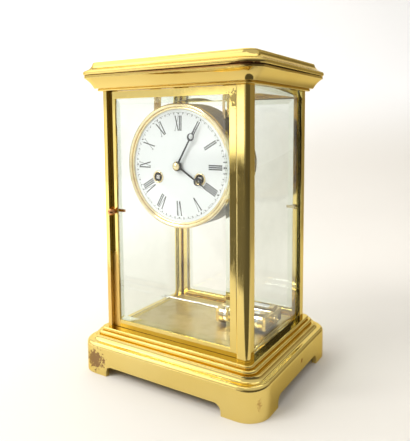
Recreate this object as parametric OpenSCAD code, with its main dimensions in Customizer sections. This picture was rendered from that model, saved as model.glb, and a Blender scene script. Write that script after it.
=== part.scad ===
// Crystal regulator clock: a four-glass brass case with a round striking movement.
// Millimetres, +Z up, the dial faces -Y, origin under the middle of the plinth.

/* [Case] */
// Overall height
case_h = 262; // [240:1:320]
// Width across the corner posts
post_span_w = 138.6; // [134:0.1:160]
// Depth across the corner posts
post_span_d = 111; // [106:0.5:130]
// Side of a square corner post
post_size = 9.7; // [9:0.1:11]
// Radius of a post's outer corner
post_round = 3.6; // [1:0.1:4.5]
// Radius of the post outline that the mouldings run round
corner_r = 1; // [0.5:0.1:3]
// Thickness of the side glass
side_glass_t = 3; // [2:0.1:3.6]
// Setback of the side glass from the post face
side_glass_setback = 2.4; // [1.5:0.1:3]
// Depth of the side glass in its post grooves
side_glass_groove = 1; // [0.5:0.1:1.5]
// Width of the bevel round each glass
bevel_w = 5.5; // [3:0.1:10]
// Depth of the bevel round each glass
bevel_t = 1.2; // [0.5:0.1:1.6]

/* [Plinth] */
// Overhang of the skirt beyond the posts
skirt_out = 17.4; // [16:0.1:24]
// Height of the skirt
skirt_h = 23; // [18:0.5:32]
// Wall of the hollow skirt
skirt_wall = 4; // [3:0.1:6]
// Radius of the rounded shoulder above the skirt
shoulder_r = 3.2; // [2:0.1:4]
// Width of the flat fillet behind the shoulder
shoulder_fillet = 1; // [0.5:0.1:1.5]
// Radius of the hollow moulding above the shoulder
cavetto_r = 4; // [3:0.1:5]
// Radius of the bead under the top plate
bead_r = 1.5; // [1:0.1:2]
// Overhang of the bead beyond the posts
bead_out = 7.3; // [6:0.1:8]
// Overhang of the neck above the bead
neck_out = 3.4; // [2:0.1:4]
// Height of the neck above the bead
neck_h = 0.3; // [0.2:0.1:1]
// Overhang of the top plate beyond the posts
step_out = 4.2; // [4:0.1:6]
// Height of the top plate
step_h = 2.2; // [1.6:0.1:3]
// Height of the arches between the feet
arch_h = 9; // [6:0.5:14]
// Radius in the corners of the arches
arch_r = 6; // [3:0.5:8]
// Length of a foot along the front
foot_w = 31; // [26:0.5:40]
// Length of a foot along the side
foot_d = 32; // [26:0.5:40]
// Thickness of the floor sheet
floor_t = 0.8; // [0.5:0.1:1.5]
// Gap between the floor sheet and the posts
floor_gap = 1.2; // [0.6:0.1:3]

/* [Cornice] */
// Overhang of the lip under the cornice
lip_out = 3.4; // [3:0.1:5]
// Height of the lip
lip_h = 1.7; // [1.2:0.1:2.5]
// Overhang of the groove above the lip
groove_out = 2.6; // [1:0.1:2.8]
// Height of the groove above the lip
groove_h = 0.4; // [0.2:0.1:0.8]
// Overhang at the foot of the flared side
flare_foot = 6; // [5:0.1:7]
// Overhang at the head of the flared side
flare_head = 13.6; // [11:0.1:15]
// Height of the flared side
flare_h = 8.2; // [6:0.1:10]
// Hollow in the flared side
flare_hollow = 0.7; // [0.3:0.1:1.2]
// Overhang of the fillet under the lid
fillet_out = 14.1; // [12:0.1:16]
// Height of the fillet under the lid
fillet_h = 1.8; // [1:0.1:3]
// Height of the shadow joint under the lid
seam_h = 0.4; // [0.2:0.1:0.8]
// Inset of the shadow joint from the lid's edge
seam_in = 2.5; // [1:0.1:4]
// Overhang of the lid's round edge
torus_out = 15; // [13:0.1:18]
// Radius of the lid's round edge
torus_r = 1.9; // [1.4:0.1:2.5]
// Overhang of the lid's step
lid_step_out = 12.2; // [11:0.1:13]
// Height of the lid's step
lid_step_h = 0.5; // [0.4:0.1:1.5]
// Height of the lid's hollow side
lid_slope_h = 5.3; // [4:0.1:7]
// Hollow in the lid's side
lid_hollow = 0.8; // [0.3:0.1:1.2]
// Radius of the lid's upper edge
lid_round_r = 1.4; // [1:0.1:3]
// Overhang of the lid's flat top
lid_top_out = 5.6; // [3:0.1:6]

/* [Doors] */
// Setback of the door from the post face
door_setback = 3.5; // [2:0.1:4]
// Thickness of a door frame
door_t = 4.2; // [3.6:0.1:5]
// Width of the latch stile
latch_stile_w = 5.9; // [5:0.1:8]
// Width of the hinge stile
hinge_stile_w = 7.4; // [6.5:0.1:9]
// Height of a door rail
rail_h = 6.2; // [5:0.1:9]
// Running gap round a door
door_gap = 0.3; // [0.2:0.05:0.5]
// Width of the post rebate that takes the latch stile
rebate_w = 3.9; // [3:0.1:4.2]
// Thickness of the stop strips behind the latch stile
stop_t = 1.8; // [1.2:0.1:2.4]
// Thickness of a door glass
door_glass_t = 2.6; // [2:0.1:2.8]
// Width of the lip that holds a door glass
glass_lip = 1.4; // [1:0.1:2]
// Gap round a door glass in its frame
glass_gap = 0.1; // [0.05:0.05:0.3]
// Radius of a hinge pin
hinge_pin_r = 1.2; // [0.9:0.05:1.4]
// Reach of a hinge pin into the door
hinge_pin_l = 3.5; // [2.5:0.1:4.5]
// Radial running clearance of pins, arbors and pipes
run_gap = 0.05; // [0.03:0.01:0.09]
// Radius of the latch spindle
spindle_r = 1.1; // [0.8:0.05:1.5]
// Radius of the latch knob
knob_r = 3; // [2.4:0.1:3.6]
// Reach of the latch tongue from its spindle
tongue_l = 6.3; // [5.6:0.1:6.5]
// Width of the latch tongue
tongue_w = 2.4; // [2:0.1:4]
// Thickness of the latch tongue
tongue_t = 1; // [0.6:0.1:1.5]
// Radius of a case screw
screw_r = 1.3; // [1:0.1:1.4]
// Radius of a case screw's head
screw_head_r = 2.8; // [2.2:0.1:3]
// Height of a case screw's head
screw_head_h = 1.8; // [1.2:0.1:2.2]
// Reach of a case screw into its post
screw_reach = 10; // [6:0.5:20]

/* [Dial and hands] */
// Drop of the dial centre below the top
dial_drop = 84.7; // [82:0.1:90]
// Setback of the dial from the post face
dial_setback = 14.5; // [14:0.1:18]
// Reach of the dial plate under the bezel
dial_lap = 1.2; // [0.8:0.1:1.8]
// Thickness of the dial plate
dial_t = 1.2; // [0.8:0.1:2]
// Dome of the dial's enamel at its centre
dial_dome = 0.8; // [0.4:0.1:1]
// Outer radius of the bezel
bezel_out_r = 50; // [49:0.1:52]
// Width of the bezel's face
bezel_w = 4.8; // [4.2:0.1:6]
// Height of the bezel's round face
bezel_rise = 2.6; // [1.5:0.1:3.2]
// Width of the bezel's inner bead
bezel_bead_w = 2; // [1.4:0.1:2.4]
// Depth of the drum behind the dial
shell_l = 24.8; // [22:0.1:26]
// Wall of the drum
shell_t = 0.9; // [0.7:0.05:1.2]
// Length of the minute hand
minute_hand_l = 41.5; // [36:0.5:43]
// Length of the hour hand
hour_hand_l = 31; // [26:0.5:34]
// Centre of the minute hand's ring
minute_ring_at = 26.8; // [22:0.1:30]
// Centre of the hour hand's ring
hour_ring_at = 21.7; // [17:0.1:24]
// Outer radius of a hand's ring
hand_ring_r = 3.1; // [2.4:0.1:3.6]
// Offset of the hole in a hand's ring
hand_moon_off = 0.5; // [0.2:0.1:0.8]
// Thickness of a hand
hand_t = 0.6; // [0.4:0.1:0.8]
// Width of a hand's stem
hand_stem_w = 1.5; // [1:0.1:2]
// Radius of a hand's collet
collet_r = 3.8; // [3.2:0.1:4.2]
// Radius of the hand nut
hand_nut_r = 3.2; // [2.4:0.1:3.4]
// Height of the hand nut
hand_nut_h = 2.4; // [2.2:0.1:2.6]
// Time shown in minutes past twelve
time_shown = 245; // [0:1:719]
// Sideways place of a winding hole
winding_x = 20.2; // [19.5:0.1:21]
// Drop of a winding hole below the dial centre
winding_drop = 9.6; // [9:0.1:11]
// Radius of a winding hole in the dial
winding_hole_r = 4.4; // [3.6:0.1:4.6]

/* [Movement] */
// Radius of the back plate
plate_r = 43; // [42.5:0.1:44]
// Thickness of a plate
plate_t = 1.6; // [1.2:0.1:2]
// Space between the plates
plate_gap = 27.3; // [27:0.1:30]
// Space between dial and front plate
dial_space = 7.3; // [7.3:0.1:9]
// Sideways place of a hanger strap
bracket_x = 33.5; // [30:0.1:36]
// Width of a hanger strap
bracket_w = 8; // [6:0.1:10]
// Thickness of a hanger strap
bracket_t = 1.5; // [1.2:0.1:2]
// Radius of a plate pillar
pillar_r = 2; // [1.6:0.1:2.2]
// Radius of a train arbor
arbor_r = 0.8; // [0.7:0.05:0.9]
// Radius of a fine arbor
fine_arbor_r = 0.44; // [0.35:0.01:0.44]
// Thickness of a train wheel
wheel_t = 1; // [0.8:0.1:1.2]
// Length of a pinion
pinion_l = 2; // [1.6:0.1:2.2]
// Set-in of the intermediate and pin wheels from the back plate
slow_in = 6.1; // [6:0.05:6.2]
// Set-in of the centre wheel from the back plate
middle_in = 3.6; // [3.5:0.05:3.7]
// Set-in of the third wheel from the back plate
quick_in = 1.3; // [1.2:0.05:1.4]
// Set-in of the escape wheel from the back plate
escape_in = 12.9; // [12.8:0.05:13]
// Set-in of the warning wheel from the back plate
warning_in = 9.9; // [9.8:0.05:10]
// Tooth module of the barrel wheels
barrel_module = 0.4; // [0.39:0.005:0.41]
// Tooth module of the intermediate wheel
intermediate_module = 0.38; // [0.37:0.005:0.39]
// Tooth module of the centre wheel
centre_module = 0.3; // [0.29:0.005:0.31]
// Tooth module of the third wheel
third_module = 0.25; // [0.24:0.005:0.26]
// Tooth module of the strike pin wheel
pin_wheel_module = 0.36; // [0.35:0.005:0.37]
// Tooth module of the strike warning wheel
warning_module = 0.26; // [0.25:0.005:0.27]
// Radius of a spring barrel
drum_r = 14.5; // [13:0.1:14.8]
// Length of a spring barrel
drum_l = 16; // [12:0.1:16.4]
// Half width of a winding square
winding_square = 1.6; // [1.3:0.05:1.8]
// Radius of the escape wheel
escape_r = 8.2; // [7.8:0.1:8.5]
// Height of the pallet arbor above the escape arbor
anchor_rise = 13; // [12:0.1:14]
// Clearance of the pallets from the escape teeth
pallet_clear = 1; // [0.9:0.05:1.3]
// Radius of a pallet pin
pallet_r = 0.6; // [0.4:0.05:0.8]
// Length of the crutch below its arbor
crutch_l = 33; // [28:0.5:40]

/* [Bell] */
// Radius of the bell's rim
bell_r = 36.6; // [34:0.1:38.5]
// Depth of the bell
bell_h = 16; // [13:0.1:18]
// Wall of the bell
bell_t = 1.4; // [1:0.1:2]
// Room between the bell's crown and the rear glass
bell_room = 12; // [9:0.1:14]
// Set-in of the bell stand's arm from the crown
bell_arm_in = 11; // [9:0.1:12]
// Reach of the bell stud behind the crown
bell_stud_l = 4; // [3.5:0.1:5]
// Radius of the bell stand
bell_post_r = 2; // [1.6:0.1:2.5]
// Radius of the hammer head
hammer_head_r = 2.4; // [2:0.1:2.6]
// Clearance of the hammer head from the bell
hammer_clear = 0.8; // [0.6:0.1:1.2]

/* [Pendulum] */
// Place of the loose pendulum behind the case centre
pendulum_y = 11.3; // [8:0.1:14]
// Spacing of the two vials
vial_pitch = 17.5; // [16.8:0.1:19]
// Radius of a vial
vial_r = 7.5; // [7:0.1:7.6]
// Wall of a vial cap
cap_wall = 0.6; // [0.4:0.1:0.7]
// Length of a vial
vial_l = 39; // [30:0.5:39.5]
// Length of a vial cap
cap_l = 4; // [3:0.1:6]
// Thickness of the stirrup bars
stirrup_t = 3; // [2:0.1:3.4]
// Room between the stirrup's end and the right glass
end_room = 6.9; // [6.4:0.1:10]
// Room between the pendulum's hook and the left glass
hook_room = 6.9; // [5:0.1:10]
// Radius of the pendulum rod
rod_r = 1.1; // [0.8:0.05:1.4]
// Radius of the rating nut
rating_nut_r = 4; // [3:0.1:5]
// Rest gap under the loose pendulum
lie_gap = 0.3; // [0.2:0.05:0.5]

/* [Hidden] */
$fn = 64;

brass = [0.86, 0.70, 0.32];
dark_brass = [0.62, 0.49, 0.25];
steel = [0.62, 0.64, 0.66];
blued = [0.08, 0.08, 0.10];
clear_glass = [0.80, 0.90, 0.88, 0.35];
enamel = [0.97, 0.97, 0.94];

// Levels and half sizes of the case
half_w = post_span_w / 2;
half_d = post_span_d / 2;
shoulder_z = skirt_h + shoulder_r;
cavetto_z = shoulder_z + cavetto_r;
bead_z = cavetto_z + bead_r;
step_z = bead_z + bead_r + neck_h;
plinth_top = step_z + step_h;
lid_h = seam_h + 2 * torus_r + lid_step_h + lid_slope_h + lid_round_r;
cornice_h = lip_h + groove_h + flare_h + fillet_h;
lid_z = case_h - lid_h;
cornice_z = lid_z - cornice_h;
floor_top = plinth_top + floor_t;
post_in_x = half_w - post_size;
post_in_y = half_d - post_size;
screw_x = half_w - 3.7;
screw_y = half_d - 4.9;
roof_t = 5;
plinth_roof = plinth_top - roof_t;
side_glass_x = half_w - side_glass_setback - side_glass_t;

// Door levels, measured on the front door
door_front = -half_d + door_setback;
door_back = door_front + door_t;
door_mid = door_front + door_t / 2;
door_low = plinth_top + door_gap;
door_high = cornice_z - door_gap;
door_left = -half_w + post_size - rebate_w + door_gap;
door_right = half_w - post_size - door_gap;
hinge_x = door_right - door_t / 2;
door_glass_y = door_back - 0.2;
latch_x = door_left + latch_stile_w / 2;
latch_z = (door_low + door_high) / 2;
stop_back = -half_d + post_size;
tongue_y = stop_back + 0.4;
notch_h = tongue_w + 1.6;

// Dial size, and movement levels from front to back
bezel_in_r = bezel_out_r - bezel_w;
dial_r = bezel_in_r + dial_lap;
dial_z = case_h - dial_drop;
dial_y = -half_d + dial_setback;
dial_back = dial_y + dial_t;
front_plate_y = dial_back + dial_space;
gap_front = front_plate_y + plate_t;
gap_back = gap_front + plate_gap;
back_plate_y = gap_back;
movement_back = back_plate_y + plate_t;
bell_space = -door_glass_y - bell_room - bell_h - movement_back;
bell_rim_y = movement_back + bell_space;
bell_crown_y = bell_rim_y + bell_h;
great_y = gap_front + 2.1;
first_pinion_y = great_y + (pinion_l - wheel_t) / 2;
drum_y = great_y + 0.4 + drum_l;
slow_y = gap_back - slow_in;
middle_y = gap_back - middle_in;
quick_y = gap_back - quick_in;
escape_y = gap_back - escape_in;
warning_y = gap_back - warning_in;
bridge_t = 1;
bridge_y = dial_back + 0.5;
minute_wheel_y = front_plate_y - 1.4;
hour_wheel_y = minute_wheel_y - 2.2;
cock_reach = 6;
cock_y = movement_back + cock_reach;
ratchet_y = front_plate_y - 0.5;
ratchet_t = 1.4;

// Tooth counts
barrel_n = 84;
first_pinion_n = 12;
intermediate_n = 72;
centre_pinion_n = 12;
centre_n = 84;
third_pinion_n = 7;
third_n = 84;
escape_pinion_n = 7;
escape_n = 36;
pin_wheel_n = 72;
warning_pinion_n = 8;
warning_n = 70;
fly_pinion_n = 7;
cannon_n = 12;
minute_wheel_n = 36;
minute_pinion_n = 10;
hour_wheel_n = 40;
ratchet_n = 24;
spoke_n = 5;
// Tooth heights and depths in modules, and thicknesses at root, pitch circle and tip in pitches
wheel_add = 1.15;
wheel_ded = 1.35;
wheel_thick = [0.50, 0.44, 0.14];
pinion_add = 0.75;
pinion_ded = 1.75;
pinion_thick = [0.30, 0.36, 0.20];

// Places of the arbors in the front view, from the dial centre
function spacing(n1, n2, m) = (n1 + n2) * m / 2;
function polar(r, a) = [r * cos(a), r * sin(a)];
// Point at distance da from a and db from b, on the left of the way from a to b
function reach(a, da, b, db) =
    let (v = b - a, d = norm(v), x = (d * d + da * da - db * db) / (2 * d))
    let (h = sqrt(da * da - x * x), u = v / d)
    a + x * u + h * [-u.y, u.x];
centre_at = [0, 0];
going_at = [winding_x, -winding_drop];
strike_at = [-winding_x, -winding_drop];
first_d = spacing(barrel_n, first_pinion_n, barrel_module);
intermediate_d = spacing(intermediate_n, centre_pinion_n, intermediate_module);
intermediate_at = reach(centre_at, intermediate_d, going_at, first_d);
third_d = spacing(centre_n, third_pinion_n, centre_module);
third_at = polar(third_d, 120);
escape_d = spacing(third_n, escape_pinion_n, third_module);
escape_at = [0, third_at.y + sqrt(escape_d * escape_d - third_at.x * third_at.x)];
anchor_at = escape_at + [0, anchor_rise];
pin_wheel_at = strike_at + polar(first_d, 100);
warning_d = spacing(pin_wheel_n, warning_pinion_n, pin_wheel_module);
warning_at = pin_wheel_at + polar(warning_d, 60);
fly_d = spacing(warning_n, fly_pinion_n, warning_module);
fly_at = warning_at + polar(fly_d, 75);
motion_module = 0.4;
motion_d = spacing(cannon_n, minute_wheel_n, motion_module);
hour_module = 2 * motion_d / (minute_pinion_n + hour_wheel_n);
minute_wheel_at = [0, -motion_d];
hammer_ring_r = 39.2;
hammer_at = polar(hammer_ring_r, 224.5);
bell_post_ring_r = 22.6;
bell_post_at = polar(bell_post_ring_r, 225);
pillar_ring_r = plate_r - 4.5;
pillar_angles = [-3, 69, 183, 270];
pillar_at = [for (a = pillar_angles) polar(pillar_ring_r, a)];
dial_foot_in = 5;
dial_foot_ring_r = plate_r - dial_foot_in;
dial_foot_angles = [100, 215, 325];
dial_foot_r = 1;
click_out = 9;
function click_at(side) = [side * (winding_x + click_out), click_out - winding_drop];
ratchet_r = 6.4;

// Arbors turn on thinner pivots, and stop short of the plates by their end shake
pivot_share = 0.8;
pivot_r = arbor_r * pivot_share;
fine_pivot_r = fine_arbor_r * pivot_share;
end_shake = 0.3;
press_gap = 0.01;

// Fasteners and straps of the movement
stud_r = 1;
nut_r = 2;
nut_h = 1.2;
click_pin_r = 0.9;
bridge_foot_x = minute_wheel_n * motion_module / 2 + 3.2;
bridge_foot_r = 1.6;
bridge_rivet_r = 0.8;
bracket_foot = 12;
bracket_y = dial_back + 0.64 * shell_l - bracket_w / 2;
shoe_low = 24;
shoe_high = acos((bracket_x - bracket_t / 2) / bezel_out_r);
front_plate_r = bezel_out_r - shell_t - run_gap;
movement_screw_r = 1.2;
movement_screw_head_r = 2.2;
movement_screw_head_h = 1.2;
movement_screw_reach = 4;
cock_up = 3;
cock_w = 14;
cock_h = 5;
cock_t = 2;
cock_hole_x = 4.6;
spring_w = 1.8;
spring_t = 0.3;
spring_l = 8;
bell_rivet_r = 1.2;
bell_stud_r = 1.5;
lid_skin = 4;

// Turn that sets gear 2 in mesh with gear 1, whose first tooth is at angle turn
function mesh_turn(c1, n1, turn, c2, n2) =
    let (way = atan2(c2.y - c1.y, c2.x - c1.x))
    way + 180 + ((way - turn) * n1 / 360 - 0.5) * 360 / n2;
intermediate_turn = mesh_turn(going_at, barrel_n, 0, intermediate_at, first_pinion_n);
centre_turn = mesh_turn(intermediate_at, intermediate_n, 0, centre_at, centre_pinion_n);
third_turn = mesh_turn(centre_at, centre_n, 0, third_at, third_pinion_n);
escape_turn = mesh_turn(third_at, third_n, 0, escape_at, escape_pinion_n);
pin_wheel_turn = mesh_turn(strike_at, barrel_n, 0, pin_wheel_at, first_pinion_n);
warning_turn = mesh_turn(pin_wheel_at, pin_wheel_n, 0, warning_at, warning_pinion_n);
fly_turn = mesh_turn(warning_at, warning_n, 0, fly_at, fly_pinion_n);
cannon_turn = mesh_turn(minute_wheel_at, minute_wheel_n, 0, centre_at, cannon_n);
hour_turn = mesh_turn(minute_wheel_at, minute_pinion_n, 0, centre_at, hour_wheel_n);
minute_angle = 90 - 6 * (time_shown % 60);
hour_angle = 90 - time_shown / 2;

// Pipes and arbors of the motion work
centre_front_r = 0.9;
cannon_bore_r = centre_front_r + run_gap;
cannon_pipe_r = 1.6;
hour_bore_r = cannon_pipe_r + run_gap;
hour_pipe_r = 2.3;
dial_hole_r = 2.8;
hour_hand_y = dial_y - dial_dome - 0.8;
minute_hand_y = hour_hand_y - hand_t - 0.7;
cannon_front = minute_hand_y - hand_t;
centre_front = cannon_front - 1.6;
cannon_neck_r = cannon_pipe_r - 0.3;
cannon_back = minute_wheel_y + (pinion_l - wheel_t) / 2;
winding_front = dial_y - 1;
winding_arbor_r = 1.7;

// Escapement and strike levers
hub_r = 1.8;
crutch_t = 1;
crutch_y = movement_back + 1.6;
lift_pin_r = 0.4;
pin_ring_r = pin_wheel_n * pin_wheel_module / 2 - 1;
tail_clear = 0.8;

// Places on the loose pendulum
cap_r = vial_r + run_gap + cap_wall;
pendulum_z = floor_top + lie_gap + cap_r;
stirrup_end = side_glass_x - end_room;
stirrup_left = stirrup_end - 2 * stirrup_t - vial_l;
pendulum_l = stirrup_end + side_glass_x - hook_room;
hook_x = stirrup_end - pendulum_l;
boss_l = 5;
boss_w = 8;
boss_h = 6;
rod_seat = 4.6;
rod_end = stirrup_left - boss_l + rod_seat - run_gap;

// Flat shapes
module box2(x0, x1, y0, y1) { translate([x0, y0]) square([x1 - x0, y1 - y0]); }
// A regular outline with flat sides, for wheels and drums
module ngon(r, n = 48) { polygon([for (i = [0 : n - 1]) polar(r, 360 * i / n)]); }
module rounded_rect(w, d, r) {
    square([w - 2 * r, d], center = true);
    square([w, d - 2 * r], center = true);
    for (x = [-1, 1], y = [-1, 1]) translate([x * (w / 2 - r), y * (d / 2 - r)]) circle(r);
}
// Draws a front-view outline as a slab that ends at y_back
module slab(y_back, depth) { translate([0, y_back, 0]) rotate([90, 0, 0]) linear_extrude(depth) children(); }
module at(p) { translate([p.x, 0, dial_z + p.y]) children(); }
// Runs a moulding profile round the case, with offsets from the post faces as its x values
module moulding(profile_w, profile_d) {
    rotate([90, 0, 90]) linear_extrude(2 * (half_w - corner_r), center = true)
        for (s = [0, 1]) mirror([s, 0]) translate([half_d, 0]) { children(0); }
    rotate([90, 0, 0]) linear_extrude(2 * (half_d - corner_r), center = true)
        for (s = [0, 1]) mirror([s, 0]) translate([half_w, 0]) { children(0); }
    for (i = [0 : 3]) {
        x = i == 0 || i == 3 ? 1 : -1;
        y = i < 2 ? 1 : -1;
        translate([x * (half_w - corner_r), y * (half_d - corner_r), 0]) rotate(90 * i)
            rotate_extrude(angle = 90) intersection() {
                translate([corner_r, 0]) children(0);
                box2(0, profile_w, -1, profile_d);
            }
    }
}

// A ring of teeth, each drawn from its root over its tip and down again
function tooth_ring(n, m, add, ded, thick) =
    let (r = n * m / 2, p = 360 / n, radii = [r - ded * m, r, r + add * m])
    [for (i = [0 : n - 1]) each concat(
        [for (k = [0 : 2]) polar(radii[k], (i - thick[k] / 2) * p)],
        [for (k = [2 : -1 : 0]) polar(radii[k], (i + thick[k] / 2) * p)])];
module wheel_teeth(n, m) { polygon(tooth_ring(n, m, wheel_add, wheel_ded, wheel_thick)); }
module pinion_leaves(n, m) { polygon(tooth_ring(n, m, pinion_add, pinion_ded, pinion_thick)); }
// One window between two spokes
module spoke_window(r_in, r_out, spoke_w) {
    gap_in = asin(spoke_w / 2 / r_in);
    gap_out = asin(spoke_w / 2 / r_out);
    span = 360 / spoke_n;
    steps = 5;
    polygon([
        for (i = [0 : steps]) polar(r_out, gap_out + (span - 2 * gap_out) * i / steps),
        for (i = [steps : -1 : 0]) polar(r_in, gap_in + (span - 2 * gap_in) * i / steps)]);
}
module crossed_wheel(n, m, hub_r) {
    rim_r = n * m / 2 - 3.2 * m;
    difference() {
        wheel_teeth(n, m);
        for (i = [0 : spoke_n - 1]) rotate(360 * i / spoke_n) spoke_window(hub_r, rim_r, 1.1);
    }
}
// An arbor with flat-sided pivots through both plates
module arbor(r) {
    slab(gap_back - end_shake, plate_gap - 2 * end_shake) circle(r, $fn = 12);
    slab(movement_back, plate_gap + 2 * plate_t) circle(r * pivot_share, $fn = 12);
}
// A flat-sided hole that clears a twelve-sided arbor at every turn
module arbor_bore(r) { circle((r + run_gap) / cos(15), $fn = 12); }

// Case
module plinth_profile() {
    box2(-corner_r, skirt_out, 0, skirt_h);
    box2(-corner_r, skirt_out - shoulder_r, 0, shoulder_z);
    translate([skirt_out - shoulder_r, skirt_h]) circle(shoulder_r);
    cavetto_out = skirt_out - shoulder_r - shoulder_fillet;
    difference() {
        box2(-corner_r, cavetto_out, shoulder_z - 0.01, cavetto_z);
        translate([cavetto_out, cavetto_z]) circle(cavetto_r);
    }
    box2(-corner_r, bead_out - bead_r, cavetto_z - 0.01, cavetto_z + 2 * bead_r);
    translate([bead_out - bead_r, bead_z]) circle(bead_r);
    box2(-corner_r, neck_out, bead_z, step_z);
    box2(-corner_r, step_out - step_h / 2, step_z - 0.01, plinth_top);
    translate([step_out - step_h / 2, step_z + step_h / 2]) circle(step_h / 2);
}
module arch(length) {
    half = length / 2;
    translate([0, -1]) square([length - 2 * arch_r, 2 * (arch_h + 1)], center = true);
    box2(-half, half, -1, arch_h - arch_r);
    for (s = [-1, 1]) translate([s * (half - arch_r), arch_h - arch_r]) circle(arch_r);
}
module at_posts() { for (x = [-1, 1], y = [-1, 1]) translate([x * screw_x, y * screw_y, 0]) children(); }
module hinge_sides() { for (a = [0, 180]) rotate(a) translate([hinge_x, door_mid, 0]) children(); }
module plinth() {
    hollow_w = post_span_w + 2 * (skirt_out - skirt_wall);
    hollow_d = post_span_d + 2 * (skirt_out - skirt_wall);
    color(brass) difference() {
        moulding_block(plinth_top, skirt_out) plinth_profile();
        translate([0, 0, -1]) linear_extrude(skirt_h) rounded_rect(hollow_w, hollow_d, corner_r + skirt_out - skirt_wall);
        translate([0, 0, -1]) linear_extrude(plinth_roof + 1) rounded_rect(post_span_w + 2, post_span_d + 2, 4);
        rotate([90, 0, 0]) linear_extrude(2 * (half_d + skirt_out + 1), center = true)
            arch(2 * (half_w + skirt_out - foot_w));
        rotate([90, 0, 90]) linear_extrude(2 * (half_w + skirt_out + 1), center = true)
            arch(2 * (half_d + skirt_out - foot_d));
        at_posts() cylinder(r = screw_r + run_gap, h = plinth_top + 1);
        hinge_sides() translate([0, 0, plinth_top - hinge_pin_l]) cylinder(r = hinge_pin_r + run_gap, h = 2 * hinge_pin_l);
    }
}
// A moulding with its middle filled in
module moulding_block(top, out) {
    moulding(corner_r + out + 1, top + 1) children(0);
    linear_extrude(top) square([post_span_w - corner_r, post_span_d - corner_r], center = true);
}
module floor_plate() {
    color(dark_brass) translate([0, 0, plinth_top]) linear_extrude(floor_t)
        square([2 * (post_in_x - floor_gap), 2 * (post_in_y - floor_gap)], center = true);
}
// A post in its own corner frame: x and y run outwards from the case centre
module post(rebated) {
    color(brass) difference() {
        translate([0, 0, plinth_top]) linear_extrude(cornice_z - plinth_top) difference() {
            translate([half_w - post_size, half_d - post_size]) {
                square([post_size, post_size - post_round]);
                square([post_size - post_round, post_size]);
                translate([post_size - post_round, post_size - post_round]) circle(post_round);
            }
            translate([side_glass_x - glass_gap, post_in_y - 1])
                square([side_glass_t + 2 * glass_gap, side_glass_groove + glass_gap + 1]);
            if (rebated) translate([post_in_x - 1, post_in_y - 1]) square([rebate_w + 1, post_size + 2]);
        }
        translate([screw_x, screw_y, 0]) {
            cylinder(r = screw_r + run_gap, h = plinth_top + screw_reach + 0.5);
            translate([0, 0, cornice_z - screw_reach - 0.5]) cylinder(r = screw_r + run_gap, h = case_h);
        }
    }
}
module front_left_post() { rotate(180) post(true); }
module front_right_post() { mirror([0, 1, 0]) post(false); }
module rear_left_post() { mirror([1, 0, 0]) post(false); }
module rear_right_post() { post(true); }
// Stop strips soldered to the latch posts behind the door, parted to let the latch through
module door_stops() {
    strip_l = latch_z - notch_h / 2 - plinth_top;
    color(brass) for (turn = [0, 180], low = [plinth_top, cornice_z - strip_l])
        rotate(turn) translate([post_in_x, post_in_y, low]) cube([rebate_w, stop_t, strip_l]);
}
// Bevelled glass standing in the XZ plane, its bevelled face at -Y, from its lower left corner
module bevelled_glass(w, h, t) {
    intersection() {
        linear_extrude(h) polygon([[0, bevel_t], [bevel_w, 0], [w - bevel_w, 0], [w, bevel_t], [w, t], [0, t]]);
        rotate([90, 0, 90]) linear_extrude(w)
            polygon([[bevel_t, 0], [0, bevel_w], [0, h - bevel_w], [bevel_t, h], [t, h], [t, 0]]);
    }
}
module right_glass() {
    length = 2 * (post_in_y + side_glass_groove);
    color(clear_glass) translate([side_glass_x + side_glass_t, -length / 2, plinth_top + glass_gap])
        rotate(90) bevelled_glass(length, cornice_z - plinth_top - 2 * glass_gap, side_glass_t);
}
module left_glass() { rotate(180) right_glass(); }
// A side of a moulding with a hollow face, from its foot up to its head
module hollow_side(foot, head, low, h, hollow) {
    chord = norm([head - foot, h]);
    hollow_r = (chord * chord / 4 + hollow * hollow) / (2 * hollow);
    out_way = [h, foot - head] / chord;
    difference() {
        polygon([[-corner_r, low], [foot, low], [head, low + h], [-corner_r, low + h]]);
        translate([(foot + head) / 2, low + h / 2] + out_way * (hollow_r - hollow)) circle(hollow_r, $fn = 200);
    }
}
module cornice_profile() {
    box2(-corner_r, lip_out - lip_h / 2, 0, lip_h);
    translate([lip_out - lip_h / 2, lip_h / 2]) circle(lip_h / 2);
    flare_z = lip_h + groove_h;
    box2(-corner_r, groove_out, lip_h - 0.01, flare_z + 0.01);
    hollow_side(flare_foot, flare_head, flare_z, flare_h, flare_hollow);
    box2(-corner_r, fillet_out, flare_z + flare_h - 0.01, cornice_h);
}
module cornice() {
    color(brass) difference() {
        translate([0, 0, cornice_z]) moulding_block(cornice_h, fillet_out) cornice_profile();
        at_posts() translate([0, 0, cornice_z - 1]) cylinder(r = screw_r + run_gap, h = cornice_h + 2);
        at_posts() translate([0, 0, lid_z - screw_head_h - 0.1]) cylinder(r = screw_head_r + 0.1, h = cornice_h);
        hinge_sides() translate([0, 0, cornice_z - 1]) cylinder(r = hinge_pin_r + run_gap, h = hinge_pin_l + 1);
        at_bracket_feet(cornice_z - 1) cylinder(r = movement_screw_r + run_gap, h = movement_screw_reach + 1.2);
        translate([0, 0, cornice_z + roof_t]) linear_extrude(cornice_h)
            square([2 * (post_in_x - 2), 2 * (post_in_y - 2)], center = true);
    }
}
module lid_profile() {
    torus_z = seam_h + torus_r;
    step_low = torus_z + torus_r;
    cove_z = step_low + lid_step_h;
    round_z = cove_z + lid_slope_h;
    box2(-corner_r, torus_out - torus_r - seam_in, 0, seam_h + 0.01);
    box2(-corner_r, torus_out - torus_r, seam_h, step_low);
    translate([torus_out - torus_r, torus_z]) circle(torus_r);
    box2(-corner_r, lid_step_out, step_low - 0.01, cove_z);
    hollow_side(lid_step_out, lid_top_out + lid_round_r, cove_z, lid_slope_h, lid_hollow);
    box2(-corner_r, lid_top_out, round_z - 0.01, lid_h);
    translate([lid_top_out, round_z]) circle(lid_round_r);
}
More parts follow.
